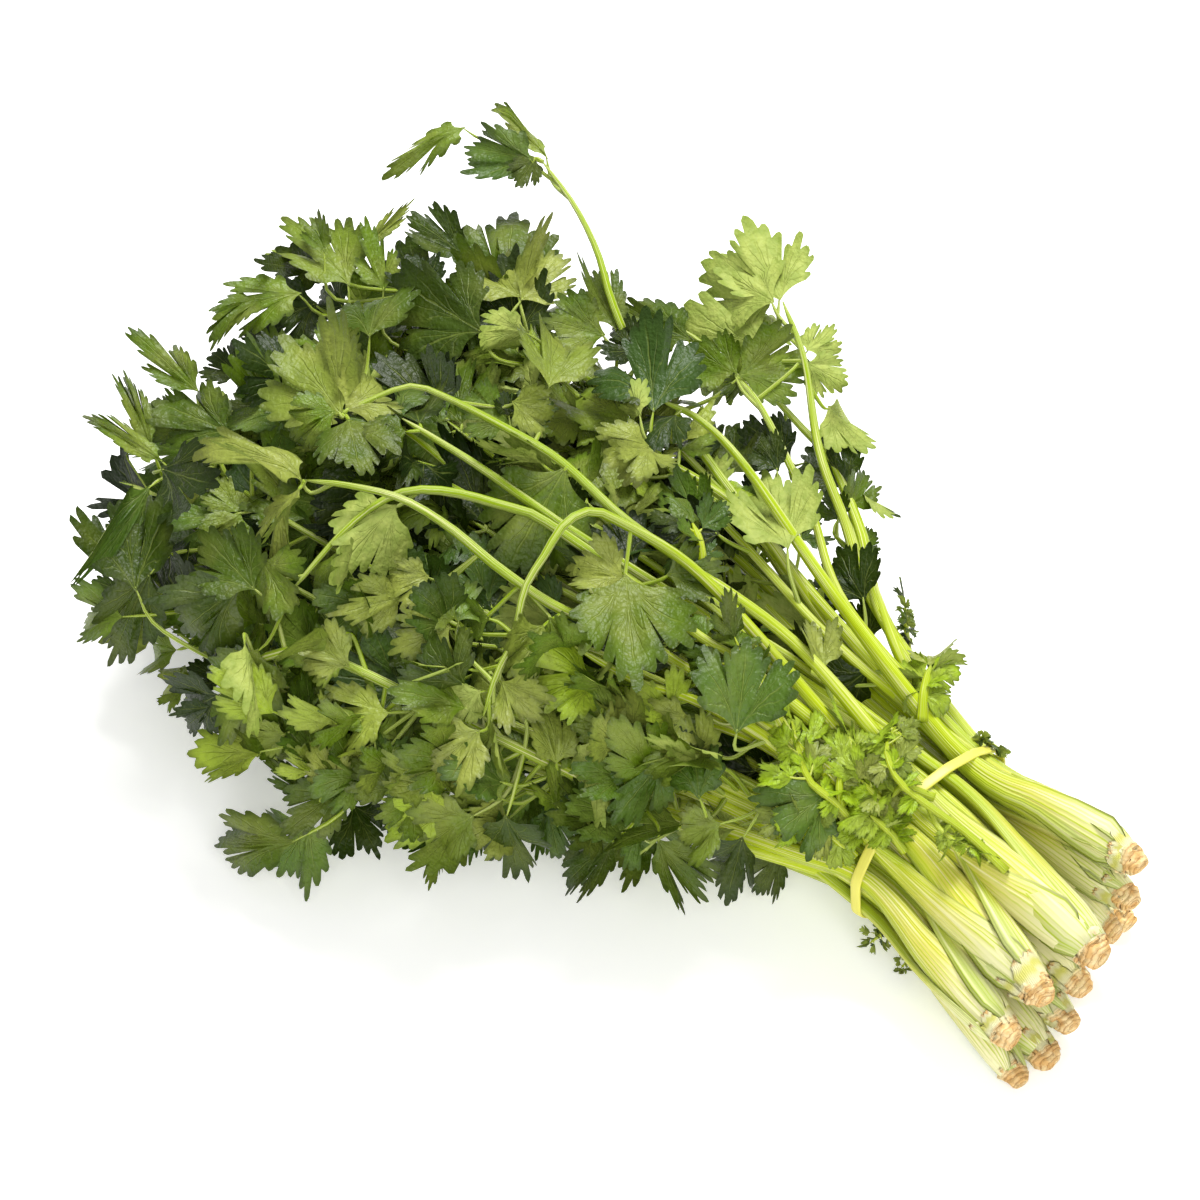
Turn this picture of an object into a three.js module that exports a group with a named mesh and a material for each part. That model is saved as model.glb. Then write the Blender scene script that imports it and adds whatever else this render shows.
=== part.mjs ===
// A tied bunch of coriander plants lying on its side, in millimetres, +Z up.
// X runs along the bunch towards the trimmed roots and Y across it. The surface it lies on is z = 0.
// Twelve plants are tied by one rubber band. Each has a crown with a trimmed root, and stalks that
// spread out past the band and end in leaves.
import * as THREE from "three";

// ---- Driving dimensions -------------------------------------------------------------------------

const GAP = 0.3; // between pieces that touch
const STRAIGHT_START = 3;
const SPREAD_AT_BAND = 1.2;
const RUN_BELOW_OUTSIDE = 0.86;
const LYING_TIP_HEIGHT = 3.2;
const CROWN = { length: 36, rootRadius: 4.4, waist: 0.72, sides: 10 };
const STALK = { baseRadius: 2.3, tipRadius: 1.1, sides: 6, steps: 9, pairOffset: 2.7 };
const LEAF = { thickness: 1.2, outlinePoints: 42, halfSpan: 108, leafletPitch: 62, sinusDepth: 0.62 };
const BAND = { width: 3.6, thickness: 1.1, clearance: 0.4, points: 44, squareness: 2.4 };

// The bunch's cross-sections, from the rubber band to the leafy tips: where the centre of each
// ellipse lies [y, z], and its half width and half height [y, z].
const SECTIONS = [
  { x: 112, centre: [13, 30], half: [35, 26] },
  { x: 55, centre: [12, 38], half: [58, 35] },
  { x: 0, centre: [7, 46], half: [90, 45] },
  { x: -60, centre: [3, 52], half: [106, 51] },
  { x: -120, centre: [2, 52], half: [106, 50] },
  { x: -190, centre: [0, 50], half: [70, 36] },
];

// Each plant: its trimmed root tip, the widest radius of its crown, and where its stalks pass the band.
const PLANTS = [
  { root: [178, 29, 48], radius: 6.5, band: [36, 45] },
  { root: [175, 27, 32.5], radius: 6.4, band: [41, 30] },
  { root: [173, 24, 17.5], radius: 6.3, band: [28, 26] },
  { root: [186, -4, 43], radius: 8.4, band: [12, 49] },
  { root: [180, -4.5, 24], radius: 6.4, band: [14, 34] },
  { root: [178, -21, 34.5], radius: 7.6, band: [-5, 44] },
  { root: [179, -7.5, 9], radius: 6.3, band: [8, 20] },
  { root: [176, -33, 24], radius: 6.8, band: [-15, 31] },
  { root: [181, -22, 5.9], radius: 6.3, band: [0, 9.5] },
  { root: [179, -37, 4.1], radius: 6.3, band: [-9, 18.5] },
  { root: [174, 39, 4.4], radius: 6.3, band: [36, 15] },
  { root: [175, 10, 5.6], radius: 6.3, band: [21, 9.5] },
];

// The stalks that show from outside, each with the points it passes after the band [x, y, z],
// its leaf's length, the direction the leaf grows in and the direction its upper face looks.
const OUTER_STALKS = [
  {
    plant: 0,
    via: [[48, 58, 68], [-20, 88, 86], [-79, 97, 90], [-104, 99, 108]],
    leaf: { length: 52, grow: [-1, 0, -0.1], face: [-0.1, -0.2, 1] },
  },
  {
    plant: 0,
    via: [[48, 42, 70], [0, 60, 86], [-42, 65, 98]],
    leaf: { length: 56, grow: [-1, 0, 0.02], face: [0, 0.25, 1] },
  },
  {
    plant: 1,
    via: [[50, 66, 62], [-5, 96, 80], [-22, 100, 86]],
    leaf: { length: 54, grow: [-1, 0.05, 0.1], face: [0.1, 1, 0.8] },
  },
  {
    plant: 1,
    via: [[75, 56, 39], [44, 76, 36]],
    leaf: { length: 42, grow: [-1, 0.4, 0], face: [0.4, 1, 0.2] },
  },
  {
    plant: 3,
    via: [[40, 20, 77], [-40, 20, 99], [-100, 19, 103]],
    leaf: { length: 70, grow: [-1, 0, -0.15], face: [-0.15, 0.1, 1] },
  },
  {
    plant: 3,
    via: [[35, -2, 76], [-9, -8, 92], [-34, -14, 99]],
    leaf: { length: 46, grow: [-1, -0.1, 0], face: [0, -0.15, 1] },
  },
  {
    plant: 5,
    via: [[40, -36, 62], [-31, -52, 82], [-87, -58, 88]],
    leaf: { length: 66, grow: [-1, -0.05, -0.1], face: [-0.1, -0.7, 1] },
  },
  { plant: 5, via: [[52, -20, 72], [22, -28, 80]] },
  {
    plant: 7,
    via: [[84, -25, 40], [20, -66, 48], [-8, -78, 52]],
    leaf: { length: 54, grow: [-1, -0.15, 0.05], face: [0, -1, 0.5] },
  },
  {
    plant: 7,
    via: [[84, -27, 31], [66, -38, 24]],
    leaf: { length: 30, grow: [-1, -0.5, -0.1], face: [-0.5, 1, -0.1] },
  },
  {
    plant: 9,
    via: [[60, -30, 12], [0, -62, 9], [-45, -80, 6], [-52, -81.5, 3.4]],
    leaf: { length: 56, grow: [-1, -0.25, 0], face: [0, 0, 1], lying: true },
  },
];

// The other stalks follow the cross-sections. Each has its angle round the bunch in degrees (0 is
// towards +Y, 90 is up), how far out it runs (1 is the outside) and the x where its leaf starts.
const FANNED_STALKS = [
  { plant: 2, angle: 2, out: 0.96, end: -74, leaf: 62 },
  { plant: 2, angle: 55, out: 0.5, end: -124, leaf: 74 },
  { plant: 10, angle: 318, out: 0.95, end: 4, leaf: 58, lying: true },
  { plant: 10, angle: 353, out: 0.94, end: -124, leaf: 70 },
  { plant: 11, angle: 300, out: 0.9, end: -92, leaf: 76, lying: true },
  { plant: 11, angle: 345, out: 0.45, end: -30, leaf: 60 },
  { plant: 4, angle: 90, out: 0.25, end: -10, leaf: 50 },
  { plant: 4, angle: 150, out: 0.5, end: -126, leaf: 72 },
  { plant: 6, angle: 270, out: 0.35, end: -74, leaf: 60 },
  { plant: 6, angle: 220, out: 0.45, end: -20, leaf: 50 },
  { plant: 8, angle: 262, out: 0.95, end: -34, leaf: 60, lying: true },
  { plant: 8, angle: 225, out: 0.95, end: 44, leaf: 46, lying: true },
  { plant: 9, angle: 189, out: 0.92, end: -112, leaf: 69 },
];

const FINISH = {
  root: { color: 0xc9a468, roughness: 0.85, metalness: 0 },
  stalk: { color: 0xa9bd4f, roughness: 0.45, metalness: 0 },
  leaf: { color: 0x4f6b2a, roughness: 0.55, metalness: 0 },
  band: { color: 0xdad65c, roughness: 0.5, metalness: 0 },
};

const vec = (p) => new THREE.Vector3(...p);
const pad = (n) => String(n + 1).padStart(2, "0");

function meshOf(name, geometry, finish) {
  const mesh = new THREE.Mesh(geometry, new THREE.MeshStandardMaterial(FINISH[finish]));
  mesh.name = name;
  return mesh;
}

// ---- Crowns -------------------------------------------------------------------------------------

// The axis of a plant's crown runs from its root tip to where its stalks pass the band.
function crownAxis(plant) {
  return new THREE.Vector3(SECTIONS[0].x, ...plant.band).sub(vec(plant.root)).normalize();
}

// A trimmed root stub, a swollen neck and a shoulder with a flat end that the stalks grow out of.
function crownGeometry(plant) {
  const profile = [
    [0, 0],
    [CROWN.rootRadius * 0.8, 0],
    [CROWN.rootRadius, 1.5],
    [CROWN.rootRadius, 6],
    [plant.radius * 0.92, 12],
    [plant.radius, 19],
    [STALK.pairOffset + STALK.baseRadius, CROWN.length],
    [0, CROWN.length],
  ].map(([radius, height]) => new THREE.Vector2(radius, height));
  const geometry = new THREE.LatheGeometry(profile, CROWN.sides);
  const upright = new THREE.Vector3(0, 1, 0);
  geometry.applyQuaternion(new THREE.Quaternion().setFromUnitVectors(upright, crownAxis(plant)));
  return geometry.translate(...plant.root);
}

// ---- Stalks -------------------------------------------------------------------------------------

// The point of the bunch at x, at an angle round it and a fraction of the way out.
function sectionPoint(x, angle, out) {
  const next = SECTIONS.findIndex((section, k) => k > 0 && section.x <= x);
  const [a, b] = [SECTIONS[next - 1], SECTIONS[next]];
  const t = (a.x - x) / (a.x - b.x);
  const mix = (key, k) => THREE.MathUtils.lerp(a[key][k], b[key][k], t);
  const turn = THREE.MathUtils.degToRad(angle);
  return new THREE.Vector3(
    x,
    mix("centre", 0) + mix("half", 0) * out * Math.cos(turn),
    mix("centre", 1) + mix("half", 1) * out * Math.sin(turn),
  );
}

// A fanned stalk keeps below the outside until it nears its leaf, which lies on the outside or, for
// a lying leaf, on the surface.
function fannedVia(stalk) {
  const stations = [55, 0, -60].filter((x) => x > stalk.end + 30);
  const points = stations.map((x) => sectionPoint(x, stalk.angle, stalk.out * RUN_BELOW_OUTSIDE));
  const tip = sectionPoint(stalk.end, stalk.angle, stalk.out);
  if (stalk.lying) tip.z = LYING_TIP_HEIGHT;
  return [...points, tip];
}

// The stalk leaves its crown straight, set a little to its own side, and passes the band there too.
function stalkCurve(plant, side, via) {
  const axis = crownAxis(plant);
  const offset = side.clone().multiplyScalar(STALK.pairOffset);
  const start = vec(plant.root).addScaledVector(axis, CROWN.length + GAP).add(offset);
  const onward = start.clone().addScaledVector(axis, STRAIGHT_START);
  const atBand = new THREE.Vector3(SECTIONS[0].x, ...plant.band).addScaledVector(offset, SPREAD_AT_BAND);
  return new THREE.CatmullRomCurve3([start, onward, atBand, ...via], false, "centripetal");
}

// The two stalks of a plant stand apart in the direction in which they part further on.
function sidesOf(plant, vias) {
  const apart = vias[0][0].clone().sub(vias[1][0]).projectOnPlane(crownAxis(plant)).normalize();
  return [apart, apart.clone().negate()];
}

// A closed tapering tube: the rings of a cylinder are laid along the curve.
function stalkGeometry(curve) {
  const { sides, steps, baseRadius, tipRadius } = STALK;
  const geometry = new THREE.CylinderGeometry(tipRadius, baseRadius, 1, sides, steps);
  const frames = curve.computeFrenetFrames(steps);
  const position = geometry.attributes.position;
  for (let i = 0; i < position.count; i++) {
    const step = Math.round((position.getY(i) + 0.5) * steps);
    const point = curve.getPointAt(step / steps);
    point.addScaledVector(frames.normals[step], position.getX(i));
    point.addScaledVector(frames.binormals[step], -position.getZ(i));
    position.setXYZ(i, point.x, point.y, point.z);
  }
  return geometry;
}

// ---- Leaves -------------------------------------------------------------------------------------

// The outline of a compound leaf seen from its stalk: three leaflets with deep notches between
// them, and small teeth, as a distance that swells and shrinks with the angle.
function leafShape(length) {
  const shape = new THREE.Shape();
  shape.moveTo(0, 0);
  for (let i = 0; i < LEAF.outlinePoints; i++) {
    const degrees = LEAF.halfSpan * ((2 * i) / (LEAF.outlinePoints - 1) - 1);
    const angle = THREE.MathUtils.degToRad(degrees);
    const leaflet = 0.5 + 0.5 * Math.cos((2 * Math.PI * degrees) / LEAF.leafletPitch);
    const side = 1 - 0.26 * Math.min(1, Math.abs(degrees) / LEAF.leafletPitch);
    const tooth = i % 2 === 0 ? 1 : 0.9;
    const reach = length * side * tooth * (1 - LEAF.sinusDepth * (1 - leaflet ** 0.7));
    shape.lineTo(reach * Math.cos(angle), reach * Math.sin(angle));
  }
  return shape;
}

// The leaf starts just past the end of its stalk, with its length along grow and its upper face
// towards face. A lying leaf rests flat on the surface.
function leafGeometry(tip, { length, grow, face, lying }) {
  const geometry = new THREE.ExtrudeGeometry(leafShape(length), {
    depth: LEAF.thickness,
    bevelEnabled: false,
  });
  const along = vec(grow).normalize();
  const across = vec(face).cross(along).normalize();
  const up = along.clone().cross(across);
  const base = tip.clone().addScaledVector(along, GAP + STALK.tipRadius);
  if (lying) base.z = 0;
  return geometry.applyMatrix4(new THREE.Matrix4().makeBasis(along, across, up).setPosition(base));
}

// A fanned stalk's leaf carries on along the outside of the bunch and faces away from its middle.
function fannedLeaf(stalk, tip) {
  const before = sectionPoint(tip.x + 20, stalk.angle, stalk.out);
  const grow = sectionPoint(tip.x, stalk.angle, stalk.out).sub(before);
  const middle = sectionPoint(tip.x, 0, 0);
  const face = [0, 0.35 * (tip.y - middle.y), tip.z - middle.z];
  if (stalk.lying) return { length: stalk.leaf, grow: [grow.x, grow.y, 0], face: [0, 0, 1], lying: true };
  return { length: stalk.leaf, grow: grow.toArray(), face };
}

// ---- Rubber band --------------------------------------------------------------------------------

// The band is a flat strip round the stalks: a rounded oblong ring with a hole of the same shape.
function bandGeometry() {
  const [halfY, halfZ] = SECTIONS[0].half;
  const round = (value) => Math.sign(value) * Math.abs(value) ** (2 / BAND.squareness);
  const oval = (grow) =>
    Array.from({ length: BAND.points }, (_, i) => {
      const turn = (2 * Math.PI * i) / BAND.points;
      const across = (halfY + grow) * round(Math.cos(turn));
      return new THREE.Vector2(across, (halfZ + grow) * round(Math.sin(turn)));
    });
  const shape = new THREE.Shape(oval(BAND.clearance + BAND.thickness));
  shape.holes.push(new THREE.Path(oval(BAND.clearance)));
  const geometry = new THREE.ExtrudeGeometry(shape, { depth: BAND.width, bevelEnabled: false });
  const basis = new THREE.Matrix4().makeBasis(
    new THREE.Vector3(0, 1, 0),
    new THREE.Vector3(0, 0, 1),
    new THREE.Vector3(1, 0, 0),
  );
  geometry.applyMatrix4(basis);
  return geometry.translate(SECTIONS[0].x - BAND.width / 2, ...SECTIONS[0].centre);
}

// ---- The bunch ----------------------------------------------------------------------------------

// Both tables' stalks in one form: the plant, the points after the band, and the leaf.
function wholeStalk(stalk) {
  if (stalk.via) return { ...stalk, via: stalk.via.map(vec) };
  const via = fannedVia(stalk);
  return { plant: stalk.plant, via, leaf: fannedLeaf(stalk, via[via.length - 1]) };
}

const stalks = [...OUTER_STALKS, ...FANNED_STALKS].map(wholeStalk);
const bunch = new THREE.Group();

PLANTS.forEach((plant, p) => {
  bunch.add(meshOf(`crown_${pad(p)}`, crownGeometry(plant), "root"));
  const own = stalks.filter((stalk) => stalk.plant === p);
  const sides = sidesOf(plant, own.map((stalk) => stalk.via));
  own.forEach((stalk, k) => {
    const name = pad(stalks.indexOf(stalk));
    const curve = stalkCurve(plant, sides[k], stalk.via);
    bunch.add(meshOf(`stalk_${name}`, stalkGeometry(curve), "stalk"));
    const tip = stalk.via[stalk.via.length - 1];
    if (stalk.leaf) bunch.add(meshOf(`leaf_${name}`, leafGeometry(tip, stalk.leaf), "leaf"));
  });
});

bunch.add(meshOf("rubber_band", bandGeometry(), "band"));

// The origin is the middle of the bunch's outline, on the surface that it lies on.
const outline = new THREE.Box3().setFromObject(bunch);
const middle = outline.getCenter(new THREE.Vector3());
bunch.position.set(-middle.x, -middle.y, -outline.min.z);

export default bunch;
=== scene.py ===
"""A tied bunch of coriander lying on its side: everything that shows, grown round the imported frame."""

from functools import partial

import bpy
import numpy as np
from bpy.props import FloatProperty, FloatVectorProperty, IntProperty, PointerProperty
from bpy.types import Operator, Panel, PropertyGroup
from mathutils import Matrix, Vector


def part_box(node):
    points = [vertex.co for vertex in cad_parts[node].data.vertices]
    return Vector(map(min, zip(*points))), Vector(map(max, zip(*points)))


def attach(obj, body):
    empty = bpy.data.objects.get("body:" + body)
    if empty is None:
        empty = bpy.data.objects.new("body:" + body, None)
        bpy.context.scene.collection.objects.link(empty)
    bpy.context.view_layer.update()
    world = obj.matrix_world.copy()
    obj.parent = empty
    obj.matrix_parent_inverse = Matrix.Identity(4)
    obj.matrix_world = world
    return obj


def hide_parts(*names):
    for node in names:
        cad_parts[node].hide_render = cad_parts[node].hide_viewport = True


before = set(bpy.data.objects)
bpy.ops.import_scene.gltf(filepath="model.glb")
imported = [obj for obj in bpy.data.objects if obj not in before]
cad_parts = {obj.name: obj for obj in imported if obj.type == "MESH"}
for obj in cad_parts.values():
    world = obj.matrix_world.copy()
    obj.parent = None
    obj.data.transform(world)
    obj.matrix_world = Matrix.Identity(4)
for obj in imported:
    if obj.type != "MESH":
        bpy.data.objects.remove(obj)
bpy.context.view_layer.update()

bl_info = {
    "name": "Coriander bunch",
    "version": (1, 0, 0),
    "blender": (4, 5, 0),
    "location": "View3D > Sidebar > Coriander",
    "description": "Grows a tied bunch of coriander plants: crowns, stalks, leaves and rubber band",
    "category": "Add Mesh",
}

# ---- The bunch's own frame ------------------------------------------------------------------------
# Millimetres. X runs along the bunch towards the roots, Y across it, and Z is up from the surface
# that it lies on. The places below are all measured in it, and the rubber band fixes it in the frame.

MM = 0.001
TURN = 2 * np.pi
BAND_MIDDLE = np.array([112.0, 13.0, 30.0])
BAND_BOX = np.array(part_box("rubber_band"))
PLACE = BAND_BOX.mean(axis=0) - BAND_MIDDLE * MM

# Cross-sections of the bunch from the band to the leafy tips: x, then the centre and the half width
# and half height of the ellipse that the stalks and leaves fill.
SECTION_X = np.array([-190.0, -120.0, -60.0, 0.0, 55.0, 112.0])
SECTION_CENTRE = np.array([[0, 50], [2, 52], [3, 52], [7, 46], [12, 38], [13, 30]], float)
SECTION_HALF = np.array([[70, 36], [104, 50], [106, 51], [90, 45], [58, 35], [35, 26]], float)

# Each plant: its trimmed root tip, the widest radius of its crown, where its stalks pass the band,
# and the CAD stalks and leaves that it stands for.
PLANTS = [
    {"root": (178, 30, 46.5), "radius": 7.2, "band": (37.5, 47), "nodes": (1, 2)},
    {"root": (179, 27, 32.5), "radius": 6.8, "band": (41, 30), "nodes": (3, 4)},
    {"root": (177, 24, 17.5), "radius": 6.6, "band": (28, 26), "nodes": (12, 13)},
    {"root": (186, -4, 43), "radius": 8.8, "band": (12, 49), "nodes": (5, 6)},
    {"root": (183, -4.5, 24), "radius": 6.6, "band": (14, 34), "nodes": (18, 19)},
    {"root": (178, -21, 34.5), "radius": 8.2, "band": (-5, 44), "nodes": (7, 8)},
    {"root": (182, -8, 9), "radius": 6.5, "band": (8, 20), "nodes": (20, 21)},
    {"root": (176, -33, 24), "radius": 7.4, "band": (-15, 31), "nodes": (9, 10)},
    {"root": (184, -21, 6.5), "radius": 7.0, "band": (0, 9.5), "nodes": (22, 23)},
    {"root": (180, -32.5, 5.0), "radius": 5.6, "band": (-2.5, 21), "nodes": (11, 24)},
    {"root": (174, 39, 4.4), "radius": 6.4, "band": (36, 15), "nodes": (14, 15)},
    {"root": (175, 10, 5.6), "radius": 6.4, "band": (21, 9.5), "nodes": (16, 17)},
]

# The stalks that stand out of the mass, each with its plant, how many pairs of leaflets it carries
# behind its tip (None where the rows of LEADING_LEAVES are its leaflets), and the points that it
# passes after the band.
LEADING_STALKS = [
    (0, None, [(30, 52, 62), (-40, 78, 74), (-60, 84, 84), (-74, 91, 92), (-88, 101, 99),
        (-104, 109, 105), (-123, 116, 109)]),
    (0, 1, [(52, 46, 68), (1, 65, 81), (-21, 69, 86), (-34, 65, 90)]),
    (0, None, [(53, 51, 60), (23, 71, 70), (-9, 89, 80), (-24, 94, 84), (-42, 98, 86), (-54, 101, 84)]),
    (1, None, [(56, 64, 50), (31, 79, 64), (13, 89, 77), (-8, 109, 90), (-25, 120, 98)]),
    (1, None, [(80, 50, 45), (53, 67, 53), (34, 81, 57), (23, 94, 60)]),
    (1, None, [(60, 62, 50), (35, 83, 58), (12, 98, 64), (-2, 100, 70), (-21, 104, 75)]),
    (3, None, [(57, 18, 74), (16, 15, 87), (-8, 13, 94), (-36, 16, 100), (-56, 13, 105), (-81, 11, 106),
        (-92, 7, 106), (-103, -11, 102)]),
    (3, None, [(47, 11, 77), (17, 13, 90), (-5, 6, 101), (-12, 0, 106), (-14, -10, 107),
        (-13, -21, 103), (-12, -32, 98), (-7, -44, 89), (-5, -55, 84), (-2, -65, 76)]),
    (4, None, [(55, 3, 70), (-22, -2, 92), (-40, -9, 98), (-55, -20, 104), (-65, -30, 104),
        (-71, -45, 99), (-73, -71, 90)]),
    (4, 1, [(55, 10, 68), (-25, 2, 90), (-54, -1, 99), (-87, -1, 101)]),
    (5, None, [(70, -8, 66), (19, -14, 80), (-4, -24, 87), (-25, -28, 95), (-44, -29, 102),
        (-60, -33, 108), (-77, -38, 107), (-92, -42, 103)]),
    (5, None, [(70, -12, 65), (44, -19, 74), (28, -28, 80), (9, -34, 88)]),
    (5, None, [(78, -9, 64), (67, -7, 70), (50, 0, 76), (34, -3, 82), (16, -5, 90), (6, -5, 94)]),
    (7, 1, [(84, -25, 38), (41, -38, 40), (0, -54, 44)]),
    (9, None, [(55, -38, 40), (-10, -64, 66), (-55, -78, 78), (-73, -87, 72), (-83, -85, 46),
        (-79, -84, 24), (-67, -82, 10), (-60, -82, 6)]),
]  # fmt: skip

# The way that the front of the bunch faces, as it lies.
FRONT = np.array([0.41, -0.53, 0.74])

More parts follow.
